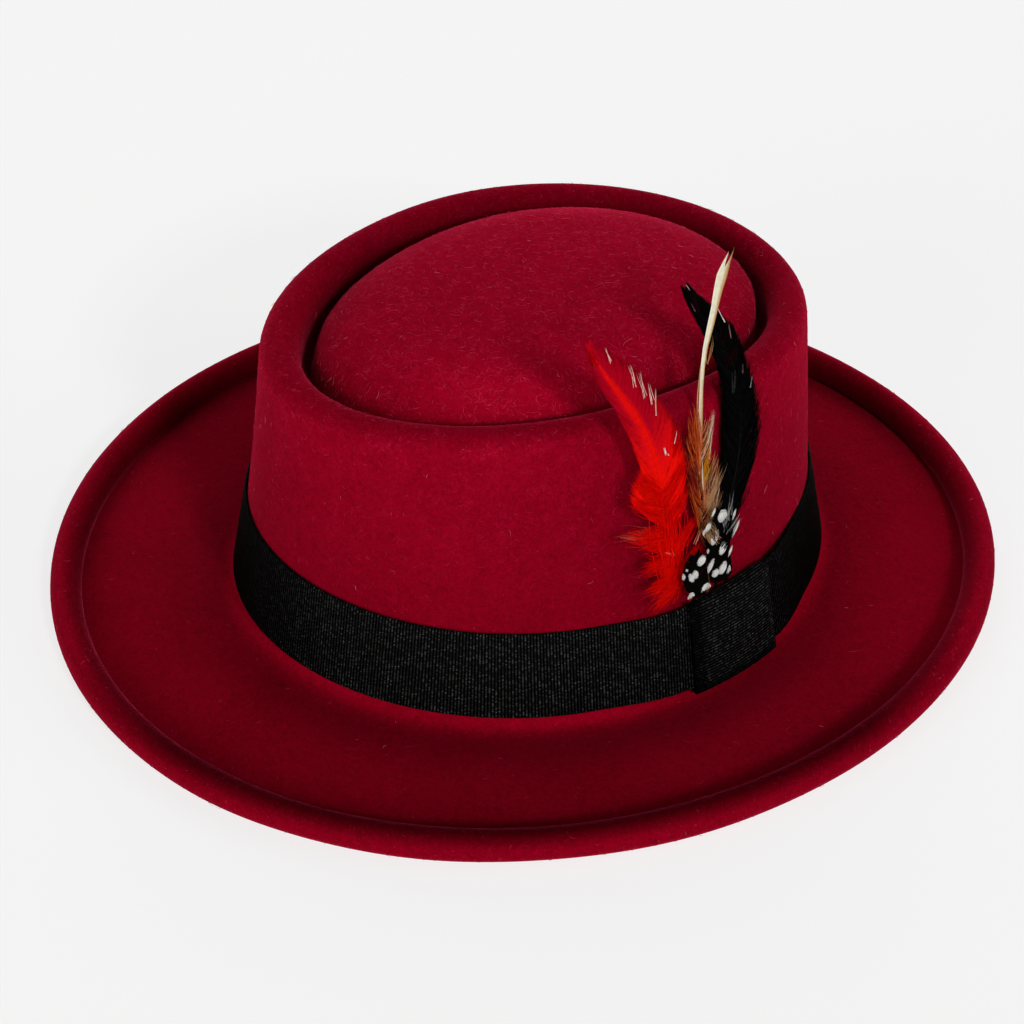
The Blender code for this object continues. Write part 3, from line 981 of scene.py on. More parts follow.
RED = Feather(0.1140, 0.0510, (
    (0.00, -0.215, -0.200, -0.180, 0.019), (0.035, -0.245, -0.215, -0.185, 0.060),
    (0.06, -0.540, -0.26, -0.185, 0.100), (0.16, -0.600, -0.35, -0.165, 0.105),
    (0.24, -0.615, -0.40, -0.160, 0.108), (0.32, -0.500, -0.418, -0.100, 0.110),
    (0.40, -0.625, -0.435, -0.240, 0.115), (0.46, -0.720, -0.453, -0.240, 0.120),
    (0.50, -0.690, -0.465, -0.240, 0.123), (0.54, -0.610, -0.48, -0.250, 0.127),
    (0.66, -0.695, -0.572, -0.345, 0.140), (0.76, -0.795, -0.695, -0.470, 0.150),
    (0.86, -0.915, -0.83, -0.620, 0.160), (0.94, -0.970, -0.935, -0.790, 0.170),
    (1.00, -1.000, -0.99, -0.975, 0.178),
))
SPOTTED_TALL = Feather(0.0350, 0.0085, (
    (0.00, 0.50, 0.60, 0.70, 0.11), (0.09, 0.49, 0.55, 0.72, 0.36),
    (0.22, -0.75, 0.05, 0.38, 0.82), (0.48, -0.95, -0.25, 0.27, 0.90),
    (0.76, -0.98, -0.35, 0.30, 0.99), (0.91, -0.55, -0.20, 0.32, 1.03),
    (1.00, -0.35, -0.15, 0.02, 1.06),
))
SPOTTED_SHORT = Feather(0.0240, 0.0200, (
    (0.00, -0.335, -0.29, -0.250, 0.048), (0.12, -0.350, -0.30, -0.255, 0.170),
    (0.30, -0.760, -0.55, -0.425, 0.430), (0.46, -0.910, -0.65, -0.430, 0.445),
    (0.60, -0.970, -0.69, -0.440, 0.455), (0.75, -0.990, -0.72, -0.480, 0.470),
    (0.92, -0.910, -0.72, -0.550, 0.490), (1.00, -0.820, -0.71, -0.620, 0.500),
))
# The rows' columns after the first
LEFT, SHAFT, RIGHT, OUT = 1, 2, 3, 4


SMOOTH_STEPS = 240
SMOOTH_WINDOW = 13
SHAFT_STEPS = 40


def column_at(feather, column, shares):
    """A column of the rows, smoothed, as lengths at the given shares of the height."""
    rows = np.array(feather.rows)
    fine = np.linspace(0.0, rows[-1, 0], SMOOTH_STEPS)
    values = np.interp(fine, rows[:, 0], rows[:, column])
    window = np.hanning(SMOOTH_WINDOW)[1:-1]
    padded = np.pad(values, len(window) // 2, mode="edge")
    values = np.convolve(padded, window / window.sum(), mode="valid")
    return np.interp(shares, fine, values) * feather.reach


def place_on(feather, column, shares):
    return np.stack([
        column_at(feather, column, shares),
        np.asarray(shares) * feather.height,
        column_at(feather, OUT, shares),
    ], axis=-1)


def curved(start, end, bow, steps):
    """Paths in (along, up, out) from starts to ends, bent sideways by a share of their length."""
    t = np.linspace(0.0, 1.0, steps)[None, :, None]
    way = end - start
    across = np.stack([way[:, 1], -way[:, 0], np.zeros(len(way))], -1)
    control = 0.5 * (start + end) + across * bow[:, None]
    return (
        (1 - t) ** 2 * start[:, None] + 2 * t * (1 - t) * control[:, None] + t**2 * end[:, None]
    )


def barbs(feather, side, rng, first, last, spacing, lead, ragged=0.10, bow=0.14, steps=7):
    """Paths of the barbs on one side of the shaft, from one share of the height to another."""
    count = int(feather.height * (last - first) / spacing)
    root = np.linspace(first, last, count) + rng.normal(0.0, 0.002, count)
    top = feather.rows[-1][0]
    tip = np.minimum(root + lead * rng.uniform(0.85, 1.15, count), top + 0.01)
    start = place_on(feather, SHAFT, root)
    end = place_on(feather, side, np.minimum(tip, top))
    end[:, 1] = tip * feather.height
    end = start + (end - start) * rng.uniform(1.0 - 2.0 * ragged, 1.0 + 0.5 * ragged, (count, 1))
    turn = (1.0 if side == RIGHT else -1.0) * bow * rng.uniform(0.7, 1.3, count)
    return curved(start, end, turn, steps)


def laid_flat(paths, widths, tints):
    """Points, faces and tints of strands whose flats face out from the wall."""
    points, faces = strands(plume_points(paths), widths, PLUME[3])
    return points, faces, strand_tints(np.broadcast_to(tints, paths.shape))


def vane(paths, width, tints, rng, lift=0.0002, taper=0.25):
    """Points, faces and tints of barbs that lie in the plane of the feathers."""
    number, steps, _ = paths.shape
    paths = paths.copy()
    t = np.linspace(0.0, 1.0, steps)[None, :]
    paths[..., 2] += rng.normal(0.0, lift, (number, 1)) * (0.4 + t) + lift * np.sin(2.0 * t)
    widths = width * (1.0 - (1.0 - taper) * t**1.5) * rng.uniform(0.8, 1.2, (number, 1))
    return laid_flat(paths, widths, tints)


def shaft(feather, last, width, tint, tip_tint=None, sides=8):
    """Points, faces and tints of the round shaft, from its foot behind the ribbon to its tip."""
    top = feather.rows[-1][0] * last
    shares = np.linspace(0.0, top, SHAFT_STEPS)
    places = place_on(feather, SHAFT, shares)
    foot = places[:1] - np.array([[0.0, STEM_DEPTH, 0.0]])
    places = np.concatenate([foot, places])
    centre = plume_points(places)
    ahead = unit(np.gradient(centre, axis=0))
    side = unit(np.cross(PLUME[3], ahead))
    over = np.cross(ahead, side)
    share = np.linspace(0.0, 1.0, len(centre))
    radius = 0.5 * width * (1.0 - 0.75 * share)
    turns = np.linspace(0.0, math.tau, sides, endpoint=False)
    ring = side[:, None] * np.cos(turns)[:, None] + over[:, None] * np.sin(turns)[:, None]
    points = centre[:, None] + ring * radius[:, None, None]
    faces = grid_faces(len(centre), sides)[:, ::-1].tolist()
    end = (len(centre) - 1) * sides
    faces += [list(range(sides))[::-1], list(range(end, end + sides))]
    tints = blend(tint, tip_tint or tint, share[:, None, None]) * np.ones((1, sides, 1))
    return points.reshape(-1, 3), faces, tints.reshape(-1, 3)


def make_feather(name, node, material, parts):
    points, faces, tints = joined(parts)
    piece = new_piece(name, points, faces, material, tint=tints)
    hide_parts(node)


# Loose barbs, in millimetres along and up: how many, their width, where they root and end, how
# far each end strays, and the two colours between which they lie
Tuft = namedtuple("Tuft", "count width root tip root_stray tip_stray first second")
# Thin lines of single barbs, in millimetres: the pale ones are painted highlights where barbs catch the
# light, the brown and brick ones the barbs' own colour
Glint = namedtuple("Glint", "count start end stray tint")


def on_feather(feather, places):
    """Places given in millimetres as (along, up, out) in metres, on the feather's own depth."""
    places = MM * places
    out = column_at(feather, OUT, places[:, 1] / feather.height)
    return np.concatenate([places, out[:, None]], axis=1)


LOOSE_STEPS = 7
GLINT_STEPS = 6


def tuft(feather, row, rng, loft):
    """Points, faces and tints of one tuft of loose barbs."""
    start = np.array(row.root) + rng.normal(0.0, row.root_stray, (row.count, 2))
    end = np.array(row.tip) + rng.normal(0.0, row.tip_stray, (row.count, 2))
    end = start + (end - start) * rng.uniform(0.6, 1.05, (row.count, 1))
    bows = rng.normal(0.0, 0.10, row.count)
    paths = curved(on_feather(feather, start), on_feather(feather, end), bows, LOOSE_STEPS)
    lifted = np.sin(2.4 * np.linspace(0.0, 1.0, LOOSE_STEPS))
    paths[..., 2] += loft * rng.uniform(-0.2, 1.0, (row.count, 1)) * lifted
    tints = blend(row.first, row.second, rng.random((row.count, 1, 1)))
    return vane(paths, MM * row.width, tints, rng, lift=0.0003)


def glint(feather, row, rng, width=0.00022, raised=0.0010):
    """Points, faces and tints of a few pale barbs side by side."""
    start = np.array(row.start) + rng.normal(0.0, row.stray, (row.count, 2))
    end = np.array(row.end) + rng.normal(0.0, row.stray, (row.count, 2))
    bows = rng.normal(0.0, 0.04, row.count)
    paths = curved(on_feather(feather, start), on_feather(feather, end), bows, GLINT_STEPS)
    paths[..., 2] += raised
    pale = rng.uniform(0.75, 1.0, (row.count, 1, 1))
    return vane(paths, width, np.array(row.tint) * pale, rng, lift=0.0001)


JET, SOOT, WINE_BLACK = (0.0010, 0.0010, 0.0011), (0.0070, 0.0068, 0.0070), (0.040, 0.001, 0.003)
BLACK_TUFTS = (
    Tuft(26, 0.16, (14.0, 60.0), (21.8, 71.5), 1.0, 1.1, JET, SOOT),
    Tuft(26, 0.16, (15.0, 50.0), (23.0, 62.0), 1.0, 1.1, JET, SOOT),
    Tuft(24, 0.16, (12.0, 68.0), (18.3, 78.0), 1.0, 1.0, JET, SOOT),
    Tuft(20, 0.14, (9.5, 76.0), (14.8, 85.5), 0.8, 0.9, JET, WINE_BLACK),
    Tuft(16, 0.14, (7.5, 84.0), (11.8, 94.0), 0.7, 0.8, JET, WINE_BLACK),
    Tuft(14, 0.14, (1.0, 100.0), (-5.4, 113.5), 0.7, 0.7, JET, WINE_BLACK),
    Tuft(14, 0.14, (2.5, 101.0), (-1.6, 112.0), 0.8, 0.7, JET, WINE_BLACK),
    Tuft(12, 0.14, (1.5, 96.0), (-3.5, 106.0), 0.8, 0.6, JET, WINE_BLACK),
    Tuft(16, 0.16, (13.0, 24.0), (17.5, 34.0), 1.0, 1.0, JET, SOOT),
    # Loose tips past the right edge
    Tuft(34, 0.13, (17.0, 46.0), (24.6, 57.0), 2.5, 2.2, JET, SOOT),
    Tuft(34, 0.13, (16.5, 56.0), (24.4, 66.5), 2.5, 2.2, JET, SOOT),
    Tuft(30, 0.13, (14.5, 66.0), (21.6, 76.0), 2.2, 2.0, JET, SOOT),
    Tuft(24, 0.12, (11.0, 76.0), (17.0, 86.0), 2.0, 1.6, JET, WINE_BLACK),
    Tuft(20, 0.13, (14.0, 34.0), (21.4, 45.0), 2.2, 2.0, JET, SOOT),
)
BLACK_GLINTS = (
    Glint(3, (10.6, 93.8), (7.4, 100.6), 0.12, (0.98, 0.86, 0.84)),
    Glint(2, (12.8, 87.5), (11.8, 92.7), 0.20, (0.40, 0.20, 0.20)),
    Glint(2, (19.4, 66.6), (20.4, 71.0), 0.15, (0.45, 0.40, 0.40)),
    Glint(2, (16.6, 73.1), (16.4, 77.0), 0.20, (0.25, 0.16, 0.16)),
    Glint(2, (-2.8, 110.4), (-4.6, 112.8), 0.20, (0.50, 0.40, 0.41)),
    Glint(2, (-1.4, 102.5), (-2.6, 106.0), 0.20, (0.30, 0.10, 0.12)),
    Glint(4, (12.5, 68.0), (12.9, 76.0), 0.50, (0.050, 0.055, 0.055)),
)


def make_black(settings):
    rng = np.random.default_rng(21)
    parts = [shaft(BLACK, 1.0, settings.shaft_width, SOOT)]
    for side in (LEFT, RIGHT):
        for _ in range(2):
            spacing = settings.barb_spacing
            paths = barbs(BLACK, side, rng, first=0.10, last=0.97, spacing=spacing, lead=0.13)
            pale = rng.random((len(paths), 1, 1)) ** 5
            parts.append(vane(paths, settings.barb_width, blend(JET, SOOT, pale), rng))
    parts += [tuft(BLACK, row, rng, loft=0.0006) for row in BLACK_TUFTS]
    parts += [glint(BLACK, row, rng) for row in BLACK_GLINTS]
    make_feather(
        "black_feather", "feather_black", feather_material("black_feather", 0.45, 0.01, 0.6),
        parts,
    )


# The straw blade's left and right edges, from the stem up to its split tip, in millimetres
BLADE = (
    ((-5.8, 46.0), (-4.4, 46.0)), ((-5.3, 54.0), (-3.4, 54.0)), ((-4.6, 63.0), (-2.7, 63.0)),
    ((-3.1, 77.3), (-1.6, 76.7)), ((-2.3, 84.1), (-0.6, 83.4)), ((-1.1, 90.6), (0.9, 89.8)),
    ((0.8, 96.9), (3.5, 95.8)), ((2.8, 103.1), (5.7, 101.9)), ((4.0, 108.4), (7.6, 107.0)),
    ((5.5, 113.6), (9.9, 111.8)), ((7.8, 116.7), (11.2, 115.6)), ((10.6, 119.6), (13.2, 120.3)),
)
STRAW, CREAM, PEACH = (0.70, 0.47, 0.22), (0.98, 0.90, 0.70), (0.68, 0.40, 0.22)
TAN, BROWN, AMBER = (0.62, 0.33, 0.13), (0.16, 0.06, 0.02), (0.66, 0.30, 0.01)
ORANGE, RUST, MAROON = (0.80, 0.16, 0.02), (0.60, 0.04, 0.01), (0.14, 0.003, 0.006)
# The blade's colours across it from the cream left side: where each starts, over what, and how much
BLADE_BANDS = ((STRAW, 0.50, 0.2, 1.0), (TAN, 0.72, 0.12, 1.0), (BROWN, 0.90, 0.05, 0.8))
BLADE_STRANDS = 30
BLADE_STEPS = 46
HACKLE = (
    Tuft(30, 0.26, (-4.7, 52.0), (-6.2, 72.5), 0.4, 0.7, RUST, ORANGE),
    Tuft(30, 0.26, (-4.8, 46.0), (-8.2, 68.5), 0.5, 0.8, RUST, ORANGE),
    Tuft(26, 0.22, (-4.9, 40.0), (-12.2, 64.0), 0.6, 0.9, MAROON, RUST),
    Tuft(26, 0.22, (-4.6, 34.0), (-10.6, 52.0), 0.6, 1.1, MAROON, RUST),
    Tuft(22, 0.20, (-3.6, 30.0), (-8.8, 42.5), 0.5, 0.9, MAROON, ORANGE),
    Tuft(22, 0.24, (-4.0, 50.0), (1.6, 67.0), 0.4, 0.8, ORANGE, CREAM),
    Tuft(30, 0.28, (-4.2, 44.0), (0.6, 58.0), 0.5, 0.8, ORANGE, AMBER),
    Tuft(28, 0.24, (-3.8, 38.0), (3.2, 50.5), 0.6, 0.9, MAROON, PEACH),
    Tuft(34, 0.24, (-3.0, 32.0), (3.9, 44.5), 0.6, 0.9, TAN, PEACH),
    Tuft(34, 0.20, (-2.2, 27.0), (3.6, 35.5), 0.6, 0.8, BROWN, PEACH),
    Tuft(26, 0.34, (-3.6, 41.0), (-1.6, 54.5), 0.5, 0.5, AMBER, AMBER),
    Tuft(30, 0.30, (-3.4, 32.0), (-3.4, 46.5), 0.7, 0.6, ORANGE, PEACH),
    Tuft(44, 0.22, (-1.6, 25.0), (0.2, 38.5), 0.8, 1.1, TAN, PEACH),
    Tuft(8, 0.18, (0.4, 84.0), (3.2, 93.5), 0.15, 0.3, BROWN, TAN),
)
HACKLE_GLINTS = (
    Glint(4, (-1.6, 56.0), (2.2, 66.5), 0.25, CREAM), Glint(3, (-1.0, 50.0), (0.6, 60.0), 0.20, CREAM),
    Glint(3, (-4.4, 40.0), (-4.2, 52.0), 0.20, CREAM), Glint(4, (-0.5, 34.0), (1.8, 44.0), 0.40, PEACH),
    Glint(3, (-0.2, 29.0), (2.6, 38.5), 0.35, CREAM), Glint(5, (-2.2, 38.0), (0.6, 50.0), 0.60, BROWN),
    Glint(4, (-6.0, 46.0), (-9.6, 57.0), 0.50, BROWN),
)


def blade(rng):
    """Points, faces and tints of the quill's blade, in strands that run its whole length."""
    edges = MM * np.array(BLADE)
    known = np.arange(len(edges))
    rows = np.linspace(0.0, len(edges) - 1.0, BLADE_STEPS)
    left, right = (
        np.stack([np.interp(rows, known, edges[:, side, axis]) for axis in (0, 1)], -1)
        for side in (0, 1)
    )
    share = np.linspace(0.04, 0.96, BLADE_STRANDS)[:, None, None]
    # Near the top the strands gather into the two tips
    gather = np.clip((rows - 9.6) / 1.4, 0.0, 1.0)[None, :, None]
    share = share + gather * (np.where(share < 0.42, 0.05, 0.95) - share)
    places = left + (right - left) * share
    widths = np.linalg.norm(right - left, axis=1)[None, :] / 9.0 * (1.0 - 0.45 * gather[..., 0])
    share = share[..., 0]
    out = column_at(QUILL, OUT, places[..., 1] / QUILL.height) + 0.0004 * np.sin(math.pi * share)
    places = np.concatenate([places, out[..., None]], axis=-1)
    places[:, -1, 1] += rng.uniform(-0.0004, 0.0004, (BLADE_STRANDS, 1))[:, 0]
    across = share + rng.normal(0.0, 0.03, (BLADE_STRANDS, 1))
    low = np.clip((86.0 - places[..., 1] / MM) / 20.0, 0.0, 1.0)
    lowest = np.clip((66.0 - places[..., 1] / MM) / 10.0, 0.0, 1.0)
    tints = np.array(CREAM)
    for colour, first, over, most in BLADE_BANDS:
        tints = blend(tints, colour, np.clip((across - first) / over, 0.0, most)[..., None])
    tints = blend(tints, TAN, (low * (0.35 + 0.6 * across))[..., None])
    tints = blend(tints, BROWN, (lowest * 0.7 * rng.random(places.shape[:2]))[..., None])
    tints = tints * rng.uniform(0.85, 1.0, (BLADE_STRANDS, 1, 1))
    return laid_flat(places, widths, tints)


def make_quill(settings):
    rng = np.random.default_rng(22)
    parts = [shaft(QUILL, 0.70, settings.shaft_width, BROWN, TAN), blade(rng)]
    for side in (LEFT, RIGHT):
        first, second = (RUST, ORANGE) if side == LEFT else (AMBER, PEACH)
        paths = barbs(
            QUILL, side, rng, first=0.14, last=0.48, spacing=0.0006, lead=0.10, ragged=0.2
        )
        tints = blend(first, second, rng.random((len(paths), 1, 1)))
        tints = np.where(rng.random((len(paths), 1, 1)) < 0.25, np.array(MAROON), tints)
        parts.append(vane(paths, 0.00036, tints, rng, lift=0.0004))
    parts += [tuft(QUILL, row, rng, loft=0.0007) for row in HACKLE]
    parts += [glint(QUILL, row, rng, 0.00023, 0.0007) for row in HACKLE_GLINTS]
    make_feather(
        "straw_quill", "feather_quill", feather_material("straw_feather", 0.50, 0.05, 0.9),
        parts,
    )


CRIMSON = (0.40, 0.0010, 0.0150)
DEEP_RED, RED_TINT, FIRE = (0.20, 0.0003, 0.0010), (0.82, 0.0012, 0.0010), (1.0, 0.0060, 0.0030)
ROSE, BRICK = (1.0, 0.60, 0.54), (0.70, 0.12, 0.08)
RED_TUFTS = (
    Tuft(150, 0.28, (-22.5, 40.0), (-35.0, 50.0), 1.8, 1.7, RED_TINT, FIRE),
    Tuft(130, 0.28, (-23.5, 46.0), (-32.5, 59.0), 1.6, 1.6, RED_TINT, FIRE),
    Tuft(120, 0.24, (-21.5, 31.0), (-39.5, 39.5), 1.6, 1.5, RED_TINT, FIRE),
    Tuft(120, 0.28, (-21.0, 28.0), (-33.0, 34.0), 1.8, 2.0, RED_TINT, FIRE),
    Tuft(150, 0.28, (-20.0, 22.0), (-32.0, 24.0), 1.6, 2.0, RED_TINT, FIRE),
    Tuft(150, 0.28, (-19.0, 16.0), (-30.5, 14.5), 1.6, 1.8, RED_TINT, FIRE),
    Tuft(130, 0.26, (-18.5, 13.0), (-28.5, 8.5), 1.5, 1.5, RED_TINT, FIRE),
    Tuft(60, 0.16, (-19.0, 12.0), (-28.5, 4.0), 1.6, 1.5, DEEP_RED, FIRE),
    Tuft(70, 0.20, (-18.0, 10.0), (-23.0, 5.0), 1.2, 1.4, DEEP_RED, FIRE),
    Tuft(130, 0.28, (-22.5, 44.0), (-13.0, 56.0), 1.5, 1.4, RED_TINT, FIRE),
    Tuft(130, 0.28, (-21.5, 34.0), (-12.5, 45.0), 1.5, 1.3, RED_TINT, FIRE),
    Tuft(130, 0.28, (-20.5, 24.0), (-9.5, 33.0), 1.5, 1.2, RED_TINT, FIRE),
    Tuft(120, 0.26, (-19.0, 16.0), (-8.0, 22.5), 1.4, 1.1, RED_TINT, FIRE),
    Tuft(200, 0.32, (-20.0, 13.0), (-22.0, 46.0), 2.0, 3.5, RED_TINT, FIRE),
    Tuft(30, 0.11, (-26.0, 34.0), (-42.5, 41.0), 1.5, 1.5, FIRE, BRICK),
    Tuft(24, 0.12, (-17.0, 58.0), (-15.5, 73.0), 1.0, 1.2, DEEP_RED, RED_TINT),
    Tuft(30, 0.13, (-47.0, 104.0), (-50.5, 112.5), 1.0, 0.9, DEEP_RED, RED_TINT),
)
RED_GLINTS = (
    Glint(4, (-32.5, 91.0), (-34.6, 100.4), 0.35, ROSE), Glint(6, (-28.6, 85.9), (-30.8, 95.7), 0.55, ROSE),
    Glint(4, (-25.8, 82.9), (-27.0, 90.0), 0.40, ROSE), Glint(3, (-24.5, 77.7), (-24.3, 87.2), 0.22, ROSE),
    Glint(2, (-17.4, 64.2), (-16.0, 68.3), 0.18, (0.95, 0.80, 0.78)),
    Glint(4, (-21.3, 62.0), (-21.9, 64.6), 0.30, (0.98, 0.90, 0.88)),
    Glint(2, (-20.0, 60.6), (-20.4, 61.9), 0.20, (0.98, 0.90, 0.88)),
    Glint(3, (-35.0, 36.5), (-41.5, 40.5), 0.60, BRICK),
    Glint(3, (-41.5, 104.0), (-44.0, 110.0), 0.50, ROSE),
    Glint(4, (-10.5, 24.0), (-8.4, 28.5), 0.70, (0.95, 0.30, 0.18)),
    Glint(4, (-22.0, 25.5), (-19.5, 23.5), 0.90, (0.95, 0.25, 0.22)),
)


# From where up the red feather its barbs dull, over what, and what shares of them stay bright
DULL_FROM, DULL_OVER = 0.42, 0.22
BRIGHT_LEFT, BRIGHT_RIGHT = 0.40, 0.16


def make_red(settings):
    rng = np.random.default_rng(23)
    parts = [shaft(RED, 1.0, 0.8 * settings.shaft_width, FIRE, FIRE)]
    for side in (LEFT, RIGHT):
        for _ in range(2):
            paths = barbs(
                RED, side, rng, first=0.30, last=0.99, spacing=0.00016, lead=0.13,
                ragged=0.05, bow=0.10,
            )
            # Barbs dull towards the edge, more so high on the feather
            high = np.clip((paths[:, :1, 1] / RED.height - DULL_FROM) / DULL_OVER, 0.0, 1.0)
            t = np.linspace(0.0, 1.0, paths.shape[1])[None, :]
            near = BRIGHT_LEFT if side == LEFT else BRIGHT_RIGHT
            dull = high * np.clip(t / near, 0.0, 1.0) * rng.uniform(0.75, 1.05, (len(paths), 1))
            tints = blend(FIRE, CRIMSON, np.clip(dull, 0.0, 1.0)[..., None])
            parts.append(vane(paths, settings.barb_width, tints, rng, lift=0.00008))
    parts += [tuft(RED, row, rng, loft=0.0008) for row in RED_TUFTS]
    parts += [glint(RED, row, rng, 0.00026) for row in RED_GLINTS]
    make_feather(
        "red_feather", "feather_red", feather_material("red_feather", 0.6, 0.0, 0.9),
        parts,
    )


# Spots in millimetres: along and up to the middle, width, height, and degrees of lean to the right
TALL_SPOTS = (
    (-4.4, 24.2, 3.0, 5.4, 24), (-0.7, 18.6, 3.1, 5.2, 26), (-6.4, 13.9, 1.9, 6.0, 34),
    (-4.1, 10.3, 3.0, 3.0, 0), (-0.9, 10.8, 3.0, 4.6, 30), (1.8, 8.8, 1.1, 3.2, 14),
    (2.4, 16.1, 1.0, 4.2, 24), (4.6, 23.7, 1.5, 6.6, 32), (3.9, 29.3, 1.0, 4.6, 26),
    (-1.0, 31.0, 3.8, 4.4, 14), (-7.1, 29.5, 2.2, 3.6, 34), (-8.9, 28.4, 1.2, 2.6, 14),
    (-4.7, 34.1, 1.0, 3.6, 30), (-7.3, 20.3, 0.8, 1.8, 10),
)
SHORT_SPOTS = (
    (-11.5, 19.5, 3.4, 4.0, 30), (-14.2, 15.2, 2.3, 3.6, -25), (-15.9, 14.7, 1.8, 4.1, -25),
    (-19.2, 16.7, 1.2, 2.3, -10), (-9.6, 7.8, 3.8, 3.8, 0), (-16.1, 7.7, 2.8, 2.8, 0),
    (-17.8, 18.6, 0.8, 1.2, -35),
)
INK, CHALK, ASH = (0.0025, 0.0020, 0.0018), (0.86, 0.85, 0.82), (0.16, 0.14, 0.14)
TALL_TUFTS = (
    Tuft(60, 0.26, (-1.0, 18.0), (4.8, 27.5), 0.8, 0.8, INK, INK),
    Tuft(40, 0.24, (-1.0, 22.0), (2.8, 31.5), 0.8, 0.8, INK, INK),
    Tuft(40, 0.24, (-3.0, 22.0), (-7.6, 31.0), 0.8, 0.8, INK, PEACH),
    Tuft(16, 0.16, (-5.5, 22.0), (-9.2, 30.5), 0.6, 0.8, TAN, PEACH),
    Tuft(10, 0.14, (-0.2, 23.0), (4.6, 39.5), 0.4, 0.7, ASH, CHALK),
    Tuft(12, 0.14, (0.0, 24.0), (1.5, 33.5), 0.4, 0.8, ASH, CHALK),
    Tuft(10, 0.14, (0.2, 23.0), (6.4, 28.5), 0.4, 0.8, ASH, CHALK),
    Tuft(8, 0.14, (0.0, 24.0), (-2.0, 33.0), 0.4, 0.7, ASH, CHALK),
)


def spotted(paths, spots):
    """Chalk inside the spots and ink outside them, for each step of each path."""
    tints = np.broadcast_to(np.array(INK), paths.shape).copy()
    for along, up, width, height, lean in spots:
        a, b = paths[..., 0] - MM * along, paths[..., 1] - MM * up
        turn = math.radians(lean)
        across = a * math.cos(turn) - b * math.sin(turn)
        way = a * math.sin(turn) + b * math.cos(turn)
        inside = (across / (0.5 * MM * width)) ** 2 + (way / (0.5 * MM * height)) ** 2 < 1.0
        tints[inside] = CHALK
    return tints


SPOT_BARB = 0.00026
SPOT_RAISED = 0.00035


def spot_patch(feather, spot, rng):
    """Points, faces and tints of one pale spot, in short barbs that lie over the dark ones."""
    along, up, width, height, lean = spot
    turn = math.radians(lean)
    count = max(4, int(width / 0.16))
    # The spot's outline is an oval
    across = np.linspace(-0.94, 0.94, count)
    reach = 0.5 * height * np.sqrt(1.0 - across**2) * rng.uniform(0.9, 1.08, count)
    side = np.array([math.cos(turn), -math.sin(turn)])
    way = reach[:, None] * np.array([math.sin(turn), math.cos(turn)])
    middle = np.array([along, up]) + 0.5 * width * across[:, None] * side
    ends = (on_feather(feather, middle + turned * way) for turned in (-1, 1))
    paths = curved(*ends, np.zeros(count), LOOSE_STEPS)
    paths[..., 2] += SPOT_RAISED
    widths = SPOT_BARB * np.sqrt(1.0 - 0.75 * np.linspace(-1.0, 1.0, LOOSE_STEPS) ** 2)
    return laid_flat(paths, widths, np.array(CHALK) * rng.uniform(0.8, 1.0, (count, 1, 1)))


def make_spotted(settings):
    rng = np.random.default_rng(24)
    material = feather_material("spotted_feather", 0.55, 0.01, 0.92)
    for name, node, plan, spots, loose in (
        ("spotted_feather_tall", "feather_spotted_tall", SPOTTED_TALL, TALL_SPOTS, TALL_TUFTS),
        ("spotted_feather_short", "feather_spotted_short", SPOTTED_SHORT, SHORT_SPOTS, ()),
    ):
        parts = [shaft(plan, 0.9, 0.6 * settings.shaft_width, INK)]
        parts += [tuft(plan, row, rng, loft=0.0004) for row in loose]
        for side in (LEFT, RIGHT):
            paths = barbs(
                plan, side, rng, first=0.06, last=0.94, spacing=0.00010, lead=0.16,
                ragged=0.04, steps=20,
            )
            tints = spotted(paths, spots)
            parts.append(vane(paths, 0.00034, tints, rng, lift=0.00008, taper=0.7))
        parts += [spot_patch(plan, spot, rng) for spot in spots]
        make_feather(name, node, material, parts)


# Stage
FLOOR_HALF = 8.0
WORLD_LIGHT = 0.02
SENSOR_WIDTH = 36.0
# What the camera aims at: a place in the hat, then to its left and down in the picture
AIM = (0.0, 0.0014, 0.04625)
AIM_LEFT, AIM_DOWN = 0.00605, 0.01853
# Suns, with degrees round from the front, up, and across their discs
Sun = namedtuple("Sun", "name azimuth elevation strength softness")
SUNS = (
    Sun("key", 86.0, 31.0, 0.95, 9.0), Sun("fill", 25.0, 16.0, 1.18, 40.0),
    Sun("right", 140.0, 25.0, 0.66, 40.0), Sun("back", 215.0, 25.0, 0.45, 40.0),
    Sun("left", -100.0, 30.0, 0.60, 40.0),
)


def direction(azimuth, elevation):
    return Vector((
        math.sin(azimuth) * math.cos(elevation), -math.cos(azimuth) * math.cos(elevation),
        math.sin(elevation),
    ))


def make_floor(settings):
    data = bpy.data.meshes.new("floor")
    corners = [(-1, -1), (1, -1), (1, 1), (-1, 1)]
    data.from_pydata([(FLOOR_HALF * x, FLOOR_HALF * y, 0.0) for x, y in corners], [], [range(4)])
    colour = (*settings.floor, 1.0)
    shader = Shader(
        "floor", roughness=0.9, specular_ior_level=0.0, base_color=colour,
        emission_color=colour, emission_strength=settings.glow,
    )
    data.materials.append(shader.material)
    add_object("floor", data)


def make_lights():
    world = bpy.data.worlds.new("studio")
    world.use_nodes = True
    background = world.node_tree.nodes["Background"]
    background.inputs["Color"].default_value = (1.0, 1.0, 1.0, 1.0)
    background.inputs["Strength"].default_value = WORLD_LIGHT
    bpy.context.scene.world = world
    for sun in SUNS:
        data = bpy.data.lights.new(sun.name, "SUN")
        data.energy = sun.strength
        data.angle = math.radians(sun.softness)
        light = add_object(sun.name, data)
        way = direction(math.radians(sun.azimuth), math.radians(sun.elevation))
        light.rotation_euler = way.to_track_quat("Z", "Y").to_euler()
        light.location = way * 2.0


